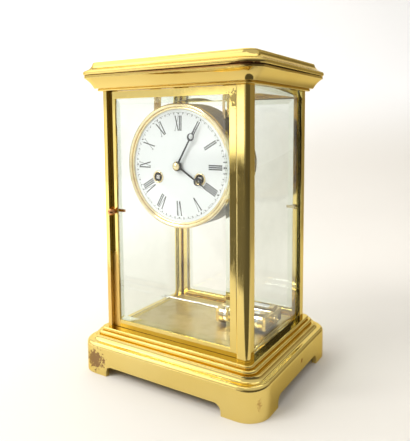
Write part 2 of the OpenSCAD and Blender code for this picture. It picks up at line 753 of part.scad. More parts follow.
module top_lid() {
    color(brass) translate([0, 0, lid_z]) difference() {
        moulding_block(lid_h, torus_out) lid_profile();
        translate([0, 0, -1]) linear_extrude(lid_h - lid_skin + 1)
            square([2 * (post_in_x - 2), 2 * (post_in_y - 2)], center = true);
    }
}
module case_screws() {
    color(steel) at_posts() {
        translate([0, 0, plinth_roof - screw_head_h]) cylinder(r = screw_head_r, h = screw_head_h);
        translate([0, 0, plinth_roof - 0.01]) cylinder(r = screw_r, h = plinth_top + screw_reach - plinth_roof);
        translate([0, 0, lid_z - screw_head_h - 0.1]) cylinder(r = screw_head_r, h = screw_head_h);
        translate([0, 0, cornice_z - screw_reach]) cylinder(r = screw_r, h = cornice_h + screw_reach - screw_head_h);
    }
}

// Doors, drawn as the front door and turned half round for the rear
module door_frame() {
    open_l = door_left + latch_stile_w;
    open_r = door_right - hinge_stile_w;
    rebate_y = door_glass_y - door_glass_t - glass_gap;
    color(brass) difference() {
        union() {
            translate([door_left, door_front, door_low])
                cube([hinge_x - door_left, door_t, door_high - door_low]);
            translate([hinge_x, door_mid, door_low]) cylinder(r = door_t / 2, h = door_high - door_low);
        }
        translate([open_l, door_front - 1, door_low + rail_h])
            cube([open_r - open_l, door_t + 2, door_high - door_low - 2 * rail_h]);
        translate([open_l - glass_lip, rebate_y, door_low + rail_h - glass_lip])
            cube([open_r - open_l + 2 * glass_lip, door_t, door_high - door_low - 2 * (rail_h - glass_lip)]);
        translate([hinge_x, door_mid, door_low - 1]) cylinder(r = hinge_pin_r + run_gap, h = hinge_pin_l + 1.5);
        translate([hinge_x, door_mid, door_high - hinge_pin_l - 0.5])
            cylinder(r = hinge_pin_r + run_gap, h = hinge_pin_l + 1.5);
        translate([latch_x, door_front - 1, latch_z]) rotate([-90, 0, 0]) cylinder(r = spindle_r + run_gap, h = door_t + 2);
    }
}
module door_glass() {
    x0 = door_left + latch_stile_w - glass_lip + glass_gap;
    x1 = door_right - hinge_stile_w + glass_lip - glass_gap;
    z0 = door_low + rail_h - glass_lip + glass_gap;
    z1 = door_high - rail_h + glass_lip - glass_gap;
    color(clear_glass) translate([x0, door_glass_y - door_glass_t, z0])
        bevelled_glass(x1 - x0, z1 - z0, door_glass_t);
}
module hinge_pins() {
    color(brass) for (turn = [0, 180]) rotate(turn) translate([hinge_x, door_mid, 0]) {
        translate([0, 0, plinth_top - hinge_pin_l + 0.1]) cylinder(r = hinge_pin_r, h = 2 * hinge_pin_l);
        translate([0, 0, cornice_z - hinge_pin_l - 0.1]) cylinder(r = hinge_pin_r, h = 2 * hinge_pin_l);
    }
}
// A turned knob, its spindle and the tongue that swings behind the post's stop
module latch() {
    color(brass) translate([latch_x, 0, latch_z]) {
        translate([0, door_front - 0.1, 0]) rotate([90, 0, 0]) {
            cylinder(r = knob_r * 0.7, h = 1);
            translate([0, 0, 1]) cylinder(r = spindle_r, h = 2);
            translate([0, 0, 1.4 + knob_r]) sphere(knob_r);
        }
        translate([0, door_front - 0.2, 0]) rotate([-90, 0, 0]) cylinder(r = spindle_r, h = tongue_y + tongue_t - door_front + 0.2);
        translate([-tongue_w / 2, tongue_y, -tongue_w / 2]) cube([tongue_l + tongue_w / 2, tongue_t, tongue_w]);
    }
}
module front_door_frame() { door_frame(); }
module front_door_glass() { door_glass(); }
module front_latch() { latch(); }
module rear_door_frame() { rotate(180) door_frame(); }
module rear_door_glass() { rotate(180) door_glass(); }
module rear_latch() { rotate(180) latch(); }

// Movement frame
// Hanger straps bent from strip: a foot under the cornice, a leg and a shoe soldered on the drum
module strap_side() {
    top = cornice_z - dial_z;
    difference() {
        union() {
            box2(bracket_x - bracket_t / 2, bracket_x + bracket_t / 2, 0, top);
            box2(bracket_x - bracket_t / 2, bracket_x + bracket_foot, top - bracket_t, top);
            intersection() {
                circle(bezel_out_r + bracket_t, $fn = 128);
                polygon([[0, 0], polar(2 * bezel_out_r, shoe_low), polar(2 * bezel_out_r, shoe_high)]);
            }
        }
        circle(bezel_out_r + run_gap, $fn = 128);
    }
}
module movement_brackets() {
    color(dark_brass) for (s = [0, 1]) mirror([s, 0, 0]) difference() {
        at(centre_at) slab(bracket_y + bracket_w, bracket_w) strap_side();
        translate([bracket_x + bracket_foot / 2, bracket_y + bracket_w / 2, cornice_z - 2 * bracket_t])
            cylinder(r = movement_screw_r + run_gap, h = 3 * bracket_t);
    }
}
module at_bracket_feet(z) {
    for (s = [-1, 1]) translate([s * (bracket_x + bracket_foot / 2), bracket_y + bracket_w / 2, z]) children();
}
// A cheese-head screw with its head below z = 0
module movement_screw(length) {
    translate([0, 0, -movement_screw_head_h]) cylinder(r = movement_screw_head_r, h = movement_screw_head_h);
    cylinder(r = movement_screw_r, h = length);
}
module movement_screws() {
    color(steel) {
        at_bracket_feet(cornice_z - bracket_t) movement_screw(bracket_t + movement_screw_reach);
        for (s = [-1, 1]) at(anchor_at + [s * cock_hole_x, cock_up + cock_h / 2])
            translate([0, movement_back + cock_t, 0]) rotate([90, 0, 0]) movement_screw(cock_t + plate_t);
    }
}
module arbor_holes() {
    for (p = [centre_at, intermediate_at, pin_wheel_at, warning_at, anchor_at, hammer_at])
        translate(p) circle(pivot_r + run_gap);
    for (p = [third_at, escape_at, fly_at]) translate(p) circle(fine_pivot_r + run_gap);
    for (p = [going_at, strike_at]) translate(p) circle(winding_arbor_r + run_gap);
    for (p = pillar_at) translate(p) circle(stud_r + run_gap);
}
module front_plate() {
    color(brass) at(centre_at) slab(gap_front, plate_t) difference() {
        circle(front_plate_r, $fn = 128);
        arbor_holes();
        translate(centre_at) circle(centre_front_r + run_gap);
        translate(minute_wheel_at) circle(fine_arbor_r + run_gap);
        for (s = [-1, 1]) {
            translate(minute_wheel_at + [s * bridge_foot_x, 0]) circle(bridge_rivet_r + run_gap);
            translate(click_at(s)) circle(click_pin_r + run_gap);
        }
        for (a = dial_foot_angles) translate(polar(dial_foot_ring_r, a)) circle(dial_foot_r + run_gap);
    }
}
module back_plate() {
    color(brass) at(centre_at) slab(movement_back, plate_t) difference() {
        circle(plate_r);
        arbor_holes();
        translate(bell_post_at) circle(bell_rivet_r + run_gap);
        for (s = [-1, 1]) translate(anchor_at + [s * cock_hole_x, cock_up + cock_h / 2])
            circle(movement_screw_r + run_gap);
    }
}
module plate_pillars() {
    stud_l = nut_h + 0.2;
    color(brass) for (p = pillar_at) at(p) {
        slab(gap_back, plate_gap) circle(pillar_r);
        slab(movement_back + stud_l, plate_gap + 2 * (plate_t + stud_l)) circle(stud_r);
        translate([0, (gap_front + gap_back) / 2, 0]) sphere(pillar_r + 0.5);
    }
}
module pillar_nuts() {
    color(steel) for (p = pillar_at, y = [front_plate_y, movement_back + nut_h])
        at(p) slab(y, nut_h) difference() {
            circle(nut_r, $fn = 6);
            circle(stud_r + run_gap);
        }
}
// An enamel plate with a shallow dome and three feet in the front plate
module dial() {
    dome_edge = bezel_in_r - 0.4;
    steps = 10;
    dome = [for (i = [steps : -1 : 0])
        let (r = dial_hole_r + (dome_edge - dial_hole_r) * i / steps)
        [r, dial_t + dial_dome * (1 - pow(r / dome_edge, 2))]];
    color(enamel) {
        translate([0, dial_back, dial_z]) rotate([90, 0, 0]) difference() {
            rotate_extrude($fn = 128) polygon(concat([[dial_hole_r, 0], [dial_r, 0], [dial_r, dial_t]], dome));
            for (p = [going_at, strike_at]) translate([p.x, p.y, -1]) cylinder(r = winding_hole_r + run_gap, h = 5);
        }
        for (a = dial_foot_angles) at(polar(dial_foot_ring_r, a))
            slab(gap_front, dial_space + plate_t + dial_t / 2) circle(dial_foot_r);
    }
}
// A moulded ring and its drum in one, with a lip behind the dial and a ledge behind the front plate
module bezel() {
    seat = dial_t + 0.2;
    mid_r = (bezel_in_r + bezel_bead_w + bezel_out_r) / 2;
    half = bezel_out_r - mid_r;
    face_r = (half * half + bezel_rise * bezel_rise) / (2 * bezel_rise);
    lip_w = 1.6;
    ledge_w = 3;
    ledge_t = 1;
    ledge = -dial_space - plate_t - press_gap;
    color(brass) translate([0, dial_back, dial_z]) rotate([90, 0, 0]) rotate_extrude($fn = 128) {
        intersection() {
            translate([mid_r, seat + bezel_rise - face_r]) circle(face_r);
            box2(mid_r - half, bezel_out_r, seat, seat + 2 * bezel_rise);
        }
        intersection() {
            translate([bezel_in_r + bezel_bead_w / 2, seat + 0.3]) circle(bezel_bead_w / 2);
            box2(bezel_in_r, bezel_out_r, seat, seat + bezel_rise);
        }
        box2(bezel_in_r, bezel_out_r, seat, seat + 0.3);
        box2(dial_r + glass_gap, bezel_out_r, -0.6, seat + 0.01);
        box2(dial_r - lip_w, bezel_out_r, -lip_w, -0.1);
        box2(bezel_out_r - shell_t, bezel_out_r, -shell_l, -0.1);
        box2(bezel_out_r - shell_t - ledge_w, bezel_out_r, ledge - ledge_t, ledge);
    }
}
module winding_grommets() {
    color(brass) for (p = [going_at, strike_at]) translate([p.x, dial_back, dial_z + p.y]) rotate([90, 0, 0])
        rotate_extrude() {
            box2(winding_hole_r - 0.7, winding_hole_r, 0, dial_t + dial_dome);
            translate([winding_hole_r, dial_t + dial_dome]) circle(0.6);
        }
}
// The bridge in front of the minute wheel, riveted to the front plate by its two feet
module minute_wheel_cock() {
    color(brass) at(minute_wheel_at) {
        slab(bridge_y + bridge_t, bridge_t) difference() {
            square([2 * (bridge_foot_x + bridge_foot_r), 2 * bridge_foot_r], center = true);
            circle(fine_arbor_r + run_gap);
        }
        for (s = [-1, 1]) translate([s * bridge_foot_x, 0, 0]) {
            slab(front_plate_y, front_plate_y - bridge_y) circle(bridge_foot_r);
            slab(gap_front, plate_t + 0.1) circle(bridge_rivet_r);
        }
    }
}
// The bracket behind the back plate that carries the pendulum's spring
module suspension_cock() {
    arm_w = 4;
    color(brass) at(anchor_at) difference() {
        union() {
            translate([-cock_w / 2, movement_back, cock_up]) cube([cock_w, cock_t, cock_h]);
            translate([-arm_w / 2, movement_back, cock_up]) cube([arm_w, cock_y - movement_back + 3, cock_h]);
        }
        for (s = [-1, 1]) translate([s * cock_hole_x, movement_back - 1, cock_up + cock_h / 2])
            rotate([-90, 0, 0]) cylinder(r = movement_screw_r + run_gap, h = cock_t + 2);
        translate([-spring_w / 2 - run_gap, cock_y - spring_t / 2 - run_gap, cock_up - 1])
            cube([spring_w + 2 * run_gap, spring_t + 2 * run_gap, cock_h + 2]);
    }
}
// A flat steel strip with a pinned block at each end
module suspension_spring() {
    block = [4, 2, 3];
    color(steel) at(anchor_at) translate([0, cock_y, cock_up + cock_h]) {
        translate([-spring_w / 2, -spring_t / 2, -cock_h - spring_l]) cube([spring_w, spring_t, cock_h + spring_l + 0.1]);
        translate([-block.x / 2, -block.y / 2, 0.05]) cube([block.x, block.y, 1]);
        translate([-block.x / 2, -block.y / 2, -cock_h - spring_l - block.z + 0.1]) cube(block);
    }
}
// A post on the back plate with an arm to the bell's centre
module bell_stand() {
    arm_t = 2;
    arm_w = 2 * bell_post_r - 0.8;
    arm_y = bell_crown_y - bell_arm_in;
    seat_y = bell_crown_y - bell_t - 0.1;
    stud_end = bell_crown_y + bell_stud_l;
    way = centre_at - bell_post_at;
    color(brass) {
        at(bell_post_at) {
            slab(movement_back + 2, 2) circle(2 * bell_post_r);
            slab(movement_back + 0.1, plate_t + 0.1) circle(bell_rivet_r);
            slab(arm_y + arm_t / 2, arm_y + arm_t / 2 - movement_back) circle(bell_post_r);
            slab(arm_y + arm_t, arm_t) {
                circle(bell_post_r + 0.6);
                rotate(atan2(way.y, way.x)) box2(0, norm(way), -arm_w / 2, arm_w / 2);
                translate(way) circle(bell_post_r + 1);
            }
        }
        at(centre_at) {
            slab(seat_y, seat_y - arm_y - arm_t / 2) circle(bell_post_r + 0.4);
            slab(stud_end, stud_end - seat_y + arm_t) circle(bell_stud_r);
        }
    }
}
module bell() {
    sphere_r = (bell_r * bell_r + bell_h * bell_h) / (2 * bell_h);
    color(steel) translate([0, bell_crown_y, dial_z]) rotate([-90, 0, 0]) rotate_extrude($fn = 128)
        intersection() {
            difference() {
                translate([0, -sphere_r]) circle(sphere_r, $fn = 200);
                translate([0, -sphere_r]) circle(sphere_r - bell_t, $fn = 200);
            }
            box2(bell_stud_r + run_gap, bell_r + 2, -bell_h, 1);
        }
}
module bell_nut() {
    nut_l = 2.8;
    color(brass) at(centre_at) slab(bell_crown_y + 0.1 + nut_l, nut_l) difference() {
        circle(4, $fn = 6);
        circle(bell_stud_r + run_gap);
    }
}

// Motion work and hands
// A moon hand along +X: collet, tapered stem, ring with an off-centre hole, and point
module moon_hand(length, ring_at, hole_r) {
    tip_w = 0.5;
    difference() {
        union() {
            circle(collet_r);
            polygon([[0, -hand_stem_w / 2], [ring_at, -hand_stem_w / 3], [ring_at, hand_stem_w / 3], [0, hand_stem_w / 2]]);
            translate([ring_at, 0]) circle(hand_ring_r);
            polygon([[ring_at, -hand_stem_w / 2], [length - 1, -tip_w / 2], [length, 0],
                [length - 1, tip_w / 2], [ring_at, hand_stem_w / 2]]);
        }
        circle(hole_r);
        translate([ring_at + hand_moon_off, 0]) circle(hand_ring_r - hand_moon_off - 0.5);
    }
}
module minute_hand() {
    color(blued) at(centre_at) slab(minute_hand_y, hand_t) rotate(minute_angle)
        moon_hand(minute_hand_l, minute_ring_at, cannon_neck_r + press_gap);
}
// A domed cap nut on the end of the centre arbor
module hand_nut() {
    rim_h = 0.8;
    dome_h = hand_nut_h - rim_h;
    dome_r = (hand_nut_r * hand_nut_r + dome_h * dome_h) / (2 * dome_h);
    bore_l = cannon_front - centre_front + 0.2;
    color(brass) translate([0, cannon_front - 0.1, dial_z]) rotate([90, 0, 0]) rotate_extrude() difference() {
        intersection() {
            box2(0, hand_nut_r, 0, hand_nut_h);
            translate([0, hand_nut_h - dome_r]) circle(dome_r);
        }
        box2(0, centre_front_r + run_gap, -1, bore_l);
    }
}
module cannon_pinion() {
    color(steel) at(centre_at) {
        slab(cannon_back, pinion_l) rotate(cannon_turn) difference() {
            pinion_leaves(cannon_n, motion_module);
            circle(cannon_bore_r);
        }
        slab(cannon_back, cannon_back - minute_hand_y) difference() {
            circle(cannon_pipe_r);
            circle(cannon_bore_r);
        }
        slab(minute_hand_y + hand_t, 2 * hand_t) difference() {
            circle(cannon_neck_r);
            circle(cannon_bore_r);
        }
    }
}
module hour_hand() {
    color(blued) at(centre_at) slab(hour_hand_y, hand_t) rotate(hour_angle)
        moon_hand(hour_hand_l, hour_ring_at, hour_pipe_r + press_gap);
}
module hour_wheel() {
    color(brass) at(centre_at) {
        slab(hour_wheel_y, wheel_t) rotate(hour_turn) difference() {
            wheel_teeth(hour_wheel_n, hour_module);
            circle(hour_bore_r);
        }
        slab(hour_wheel_y, hour_wheel_y - hour_hand_y + hand_t) difference() {
            circle(hour_pipe_r);
            circle(hour_bore_r);
        }
    }
}
module minute_wheel() {
    color(brass) at(minute_wheel_at) {
        slab(minute_wheel_y, wheel_t) wheel_teeth(minute_wheel_n, motion_module);
        slab(hour_wheel_y + 0.4, pinion_l) pinion_leaves(minute_pinion_n, hour_module);
        slab(minute_wheel_y + 0.2, minute_wheel_y - hour_wheel_y + 0.4) circle(1.2, $fn = 12);
        slab(gap_front, gap_front - bridge_y) circle(fine_arbor_r, $fn = 12);
    }
}

// Trains
// A drum with a toothed great wheel at its front and a cap at its back
module spring_barrel() {
    drum_wall = 1.2;
    cap_t = 1;
    slab(great_y, wheel_t) difference() {
        wheel_teeth(barrel_n, barrel_module);
        arbor_bore(winding_arbor_r);
    }
    slab(drum_y, drum_y - great_y + 0.1) difference() {
        ngon(drum_r);
        ngon(drum_r - drum_wall);
    }
    slab(drum_y, cap_t) difference() {
        ngon(drum_r - 0.5);
        arbor_bore(winding_arbor_r);
    }
}
module going_barrel() { color(brass) at(going_at) spring_barrel(); }
module strike_barrel() { color(brass) at(strike_at) spring_barrel(); }
// The arbor that the key turns: pivot, ratchet and square
module winding_arbor() {
    tooth_h = 1.1;
    undercut = 0.12;
    step = 360 / ratchet_n;
    square_back = ratchet_y - ratchet_t / 2;
    slab(movement_back, movement_back - ratchet_y + ratchet_t) circle(winding_arbor_r, $fn = 12);
    slab(ratchet_y, ratchet_t) polygon([for (i = [0 : ratchet_n - 1]) each
        [polar(ratchet_r, i * step), polar(ratchet_r - tooth_h, (i + undercut) * step)]]);
    slab(square_back, square_back - winding_front) square(2 * winding_square, center = true);
}
module going_winding_arbor() { color(steel) at(going_at) winding_arbor(); }
module strike_winding_arbor() { color(steel) at(strike_at) winding_arbor(); }
// A pawl on its screw: the nose stands just off the ratchet's tips
module click(side, barrel_at) {
    way = barrel_at - click_at(side);
    nose_l = norm(way) - ratchet_r - 0.4;
    nose_w = 0.8;
    root_w = 2.4;
    at(click_at(side)) {
        slab(ratchet_y, ratchet_t) {
            circle(2 * click_pin_r, $fn = 12);
            rotate(atan2(way.y, way.x))
                polygon([[0, -root_w / 2], [nose_l, -nose_w / 2], [nose_l, nose_w / 2], [0, root_w / 2]]);
        }
        slab(gap_front, gap_front - ratchet_y + ratchet_t / 2) circle(click_pin_r, $fn = 12);
    }
}
module going_click() { color(steel) click(1, going_at); }
module strike_click() { color(steel) click(-1, strike_at); }
module intermediate_wheel() {
    color(brass) at(intermediate_at) {
        arbor(arbor_r);
        slab(first_pinion_y, pinion_l) rotate(intermediate_turn) pinion_leaves(first_pinion_n, barrel_module);
        slab(slow_y, wheel_t) crossed_wheel(intermediate_n, intermediate_module, 2.6);
    }
}
module centre_wheel() {
    color(brass) at(centre_at) {
        slab(gap_back - end_shake, plate_gap - 2 * end_shake) circle(arbor_r, $fn = 12);
        slab(movement_back, plate_t + 1) circle(pivot_r, $fn = 12);
        slab(gap_front + 2 * end_shake, gap_front + 2 * end_shake - centre_front) circle(centre_front_r, $fn = 12);
        slab(slow_y + 0.5, pinion_l) rotate(centre_turn) pinion_leaves(centre_pinion_n, intermediate_module);
        slab(middle_y, wheel_t) crossed_wheel(centre_n, centre_module, 2.4);
    }
}
module third_wheel() {
    color(brass) at(third_at) {
        arbor(fine_arbor_r);
        slab(middle_y + 0.5, pinion_l) rotate(third_turn) pinion_leaves(third_pinion_n, centre_module);
        slab(quick_y, wheel_t * 0.8) crossed_wheel(third_n, third_module, 1.8);
    }
}
module escape_wheel() {
    tooth = 360 / escape_n;
    root_r = escape_r - 1.3;
    lean = 0.22;
    color(brass) at(escape_at) {
        arbor(fine_arbor_r);
        slab(quick_y + 0.6, pinion_l) rotate(escape_turn) pinion_leaves(escape_pinion_n, third_module);
        slab(escape_y, wheel_t) difference() {
            polygon([for (i = [0 : escape_n - 1]) each [
                polar(escape_r, i * tooth), polar(root_r, (i + lean) * tooth),
                polar(root_r, (i + 1 - lean) * tooth)]]);
            for (i = [0 : spoke_n - 1]) rotate(360 * i / spoke_n) spoke_window(1.8, root_r - 1.1, 0.9);
        }
    }
}
// The wheel whose pins lift the hammer
module pin_wheel() {
    pin_n = 10;
    pin_l = 1;
    color(brass) at(pin_wheel_at) {
        arbor(arbor_r);
        slab(first_pinion_y, pinion_l) rotate(pin_wheel_turn) pinion_leaves(first_pinion_n, barrel_module);
        slab(slow_y, wheel_t) crossed_wheel(pin_wheel_n, pin_wheel_module, 2.4);
        for (i = [0 : pin_n - 1]) rotate([0, 360 * i / pin_n, 0]) translate([pin_ring_r, 0, 0])
            slab(slow_y + pin_l, pin_l + wheel_t / 2) circle(lift_pin_r, $fn = 8);
    }
}
module warning_wheel() {
    color(brass) at(warning_at) {
        arbor(arbor_r);
        slab(slow_y + 0.5, pinion_l) rotate(warning_turn) pinion_leaves(warning_pinion_n, pin_wheel_module);
        slab(warning_y, wheel_t) crossed_wheel(warning_n, warning_module, 2);
    }
}
// A two-bladed air brake
module strike_fly() {
    fly_l = 9;
    fly_w = 10;
    fly_t = 0.5;
    color(brass) at(fly_at) {
        arbor(fine_arbor_r);
        slab(warning_y + 0.5, pinion_l) rotate(fly_turn) pinion_leaves(fly_pinion_n, warning_module);
        slab(warning_y - 3, fly_l) square([fly_w, fly_t], center = true);
        slab(warning_y - 3, fly_l) circle(2 * fine_arbor_r, $fn = 12);
    }
}

// Escapement and hammer
module pallet_anchor() {
    pallet_d = (escape_r + pallet_clear + pallet_r) * cos(45);
    arm_v = [pallet_d, pallet_d - anchor_rise];
    arm_w = 1.6;
    side = [-arm_v.y, arm_v.x] / norm(arm_v) * arm_w / 2;
    color(steel) at(anchor_at) {
        arbor(arbor_r);
        slab(crutch_y + 0.8, crutch_y + 0.8 - gap_back) circle(pivot_r, $fn = 12);
        slab(escape_y + 0.5, wheel_t + 1) {
            circle(hub_r, $fn = 12);
            for (s = [0, 1]) mirror([s, 0]) {
                polygon([side, -side, arm_v - side / 2, arm_v + side / 2]);
                translate(arm_v) circle(pallet_r, $fn = 12);
            }
        }
    }
}
// The lever behind the back plate that hands the impulse to the pendulum
module crutch() {
    crutch_w = 1.4;
    pin_end = cock_y + 1.5;
    color(steel) at(anchor_at) {
        slab(crutch_y, crutch_t) difference() {
            union() {
                circle(hub_r);
                box2(-crutch_w / 2, crutch_w / 2, -crutch_l, 0);
            }
            circle(pivot_r + press_gap);
        }
        translate([0, 0, crutch_w / 2 - crutch_l])
            slab(pin_end, pin_end - crutch_y + crutch_t / 2) circle(crutch_w / 2);
    }
}
// Arbor, lifting tail, arm and head of the hammer in one piece
module strike_hammer() {
    head_d = bell_r + hammer_clear + hammer_head_r;
    head_way = polar(head_d, 191) - hammer_at;
    head_l = 7;
    head_y = bell_rim_y + head_l / 2;
    shaft_r = 0.9;
    arm_back = 2.8;
    arm_y = movement_back + arm_back;
    arm_w = 1.6;
    tail_way = pin_wheel_at - hammer_at;
    tail_l = norm(tail_way) - pin_ring_r - lift_pin_r - tail_clear;
    tail_t = 0.8;
    color(steel) at(hammer_at) {
        arbor(arbor_r);
        slab(arm_y, arm_y - gap_back) circle(pivot_r, $fn = 12);
        slab(arm_y, arm_w) {
            circle(hub_r, $fn = 12);
            rotate(atan2(head_way.y, head_way.x)) box2(0, norm(head_way), -arm_w / 2, arm_w / 2);
        }
        slab(slow_y + tail_clear + tail_t, tail_t) {
            circle(hub_r, $fn = 12);
            rotate(atan2(tail_way.y, tail_way.x)) box2(0, tail_l, -tail_t, tail_t);
        }
        translate([head_way.x, 0, head_way.y]) {
            slab(head_y, head_y - arm_y + arm_w) circle(shaft_r);
            slab(head_y, head_l) circle(hammer_head_r);
        }
    }
}

// The loose pendulum, lying on the floor sheet
module along_x(x0, length, r, sides = 48) { translate([x0, 0, 0]) rotate([0, 90, 0]) cylinder(r = r, h = length, $fn = sides); }
module at_pendulum() { translate([0, pendulum_y, pendulum_z]) children(); }
module at_vials() { for (s = [-1, 1]) translate([0, s * vial_pitch / 2, 0]) children(); }
module pendulum_rod() {
    hook_l = 9;
    hook_w = 4.4;
    hook_t = 1.2;
    eye_r = 1.1;
    slot_w = 1.4;
    eye_x = hook_x + 2.6;
    color(steel) at_pendulum() {
        along_x(hook_x + hook_l - 0.5, rod_end - hook_x - hook_l + 0.5, rod_r);
        translate([0, 0, -hook_t / 2]) linear_extrude(hook_t) difference() {
            translate([hook_x, -hook_w / 2]) square([hook_l, hook_w]);
            translate([eye_x, 0]) circle(eye_r);
            translate([eye_x, eye_r / 2]) square([slot_w, hook_w]);
        }
    }
}
module pendulum_stirrup() {
    bar_d = vial_pitch + 2 * cap_r - 2;
    bar_h = 11;
    vial_x = stirrup_left + stirrup_t;
    color(brass) at_pendulum() {
        for (x = [stirrup_left, stirrup_end - stirrup_t]) translate([x, -bar_d / 2, -bar_h / 2]) cube([stirrup_t, bar_d, bar_h]);
        translate([stirrup_left - boss_l + 0.01, 0, 0]) difference() {
            translate([0, -boss_w / 2, -boss_h / 2]) cube([boss_l, boss_w, boss_h]);
            along_x(-1, rod_seat + 1, rod_r + run_gap);
        }
        for (z = [-1, 1]) translate([0, 0, z * (bar_h / 2 - 1.2)]) along_x(vial_x - 0.1, vial_l + 0.2, 0.9);
        at_vials() for (x = [vial_x - 0.01, vial_x + vial_l - cap_l + 0.01]) difference() {
            along_x(x, cap_l, cap_r);
            along_x(x - 1, cap_l + 2, vial_r + run_gap);
        }
    }
}
module pendulum_vials() {
    color(steel) at_pendulum() at_vials() along_x(stirrup_left + stirrup_t + 0.05, vial_l - 0.1, vial_r);
}
module rating_nut() {
    color(brass) at_pendulum() {
        along_x(stirrup_end + 0.05, 2.4, rating_nut_r, 24);
        along_x(stirrup_end + 2.4, 2, 1);
    }
}

plinth();
floor_plate();
front_left_post();
front_right_post();
rear_left_post();
rear_right_post();
door_stops();
left_glass();
right_glass();
cornice();
top_lid();
case_screws();
front_door_frame();
front_door_glass();
front_latch();
rear_door_frame();
rear_door_glass();
rear_latch();
hinge_pins();
movement_brackets();
movement_screws();
front_plate();
back_plate();
plate_pillars();
pillar_nuts();
dial();
bezel();
winding_grommets();
minute_wheel_cock();
suspension_cock();
suspension_spring();
bell_stand();
bell();
bell_nut();
minute_hand();
hand_nut();
cannon_pinion();
hour_hand();
hour_wheel();
minute_wheel();
going_barrel();
intermediate_wheel();
centre_wheel();
third_wheel();
escape_wheel();
going_winding_arbor();
going_click();
strike_barrel();
pin_wheel();
warning_wheel();
strike_fly();
strike_winding_arbor();
strike_click();
pallet_anchor();
crutch();
strike_hammer();
pendulum_rod();
pendulum_stirrup();
pendulum_vials();
rating_nut();
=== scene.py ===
# Looks of a four-glass mantel clock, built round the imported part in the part's own frame, in metres.
import math

import bpy
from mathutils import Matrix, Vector


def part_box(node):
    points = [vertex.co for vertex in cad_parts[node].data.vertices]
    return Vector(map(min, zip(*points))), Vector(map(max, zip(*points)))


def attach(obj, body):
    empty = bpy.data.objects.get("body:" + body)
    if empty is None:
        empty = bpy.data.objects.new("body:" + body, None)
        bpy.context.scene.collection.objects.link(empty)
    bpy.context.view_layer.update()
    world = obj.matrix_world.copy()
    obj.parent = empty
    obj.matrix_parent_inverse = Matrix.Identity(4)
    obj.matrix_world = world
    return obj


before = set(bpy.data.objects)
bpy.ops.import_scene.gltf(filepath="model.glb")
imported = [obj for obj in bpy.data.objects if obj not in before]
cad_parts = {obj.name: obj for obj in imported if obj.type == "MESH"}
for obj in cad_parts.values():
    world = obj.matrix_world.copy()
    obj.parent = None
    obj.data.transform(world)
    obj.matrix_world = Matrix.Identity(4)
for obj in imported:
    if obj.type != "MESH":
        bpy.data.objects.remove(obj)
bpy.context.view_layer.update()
scene = bpy.context.scene
mm = 0.001


# Studio: a sheet of matt, nearly white paper under and behind the clock, bent up in one wide curve.
# It is lit from the left, and low down on the right it turns a warmer grey: painted shade.
# Its far right and its near side carry painted shade that shows only in what the polished metal mirrors: a
# painted dark reflection.
def node(tree, kind, inputs=None, **settings):
    made = tree.nodes.new(kind)
    for name, value in settings.items():
        setattr(made, name, value)
    for socket, value in (inputs or {}).items():
        if isinstance(value, bpy.types.NodeSocket):
            tree.links.new(value, made.inputs[socket])
        else:
            made.inputs[socket].default_value = value
    return made


def new_material(name):
    material = bpy.data.materials.new(name)
    material.use_nodes = True
    material.node_tree.nodes.clear()
    return material, material.node_tree


def number_maths(tree, operation, *values, **settings):
    return node(tree, "ShaderNodeMath", dict(enumerate(values)), operation=operation, **settings).outputs[0]


def vector_maths(tree, operation, *values):
    made = node(tree, "ShaderNodeVectorMath", dict(enumerate(values)), operation=operation)
    return made.outputs["Value" if operation in ("DOT_PRODUCT", "LENGTH") else "Vector"]


def along_axis(tree, vector, axis):
    return node(tree, "ShaderNodeSeparateXYZ", {0: vector}).outputs[axis]


def noise(tree, vector, scale, detail, **more):
    inputs = {"Vector": vector, "Scale": scale, "Detail": detail, **more}
    return node(tree, "ShaderNodeTexNoise", inputs).outputs["Fac"]


def ramp(tree, value, low, high):
    return node(tree, "ShaderNodeMapRange", {"Value": value, "From Min": low, "From Max": high},
                interpolation_type="SMOOTHSTEP").outputs["Result"]


def blend_colours(tree, factor, first, second):
    mix = node(tree, "ShaderNodeMix", {0: factor, 6: first, 7: second}, data_type="RGBA")
    return mix.outputs[2]


def object_place(tree):
    return node(tree, "ShaderNodeTexCoord").outputs["Object"]


def relief(tree, strength, depth, height, **more):
    inputs = {"Strength": strength, "Distance": depth, "Height": height, **more}
    return node(tree, "ShaderNodeBump", inputs).outputs["Normal"]


def surface(tree, inputs):
    body = node(tree, "ShaderNodeBsdfPrincipled", inputs)
    node(tree, "ShaderNodeOutputMaterial", {"Surface": body.outputs[0]})


SWEEP_SIZE, WALL_HEIGHT, BEND_RADIUS = 3, 2.2, 0.9
SWEEP_TURN = math.radians(32)
BACK_PART = 1

bpy.ops.object.select_all(action="DESELECT")
bpy.ops.mesh.primitive_plane_add(size=SWEEP_SIZE, location=(0, 0, 0))
sweep = bpy.context.object
sweep.name = "paper_sweep"
bpy.ops.object.mode_set(mode="EDIT")
bpy.ops.mesh.select_all(action="DESELECT")
bpy.ops.object.mode_set(mode="OBJECT")
for edge in sweep.data.edges:
    edge.select = all(sweep.data.vertices[v].co.y > BACK_PART for v in edge.vertices)
bpy.ops.object.mode_set(mode="EDIT")
bpy.ops.mesh.extrude_region_move(TRANSFORM_OT_translate={"value": (0, 0, WALL_HEIGHT)})
bpy.ops.object.mode_set(mode="OBJECT")
for edge in sweep.data.edges:
    ends = [sweep.data.vertices[v].co for v in edge.vertices]
    edge.select = all(end.y > BACK_PART and abs(end.z) < 0.01 for end in ends)
bpy.ops.object.mode_set(mode="EDIT")
bpy.ops.mesh.bevel(offset=BEND_RADIUS, segments=24, affect="EDGES")
bpy.ops.object.mode_set(mode="OBJECT")
sweep.rotation_euler.z = SWEEP_TURN
bpy.ops.object.transform_apply(location=True, rotation=True, scale=True)
bpy.ops.object.shade_smooth()

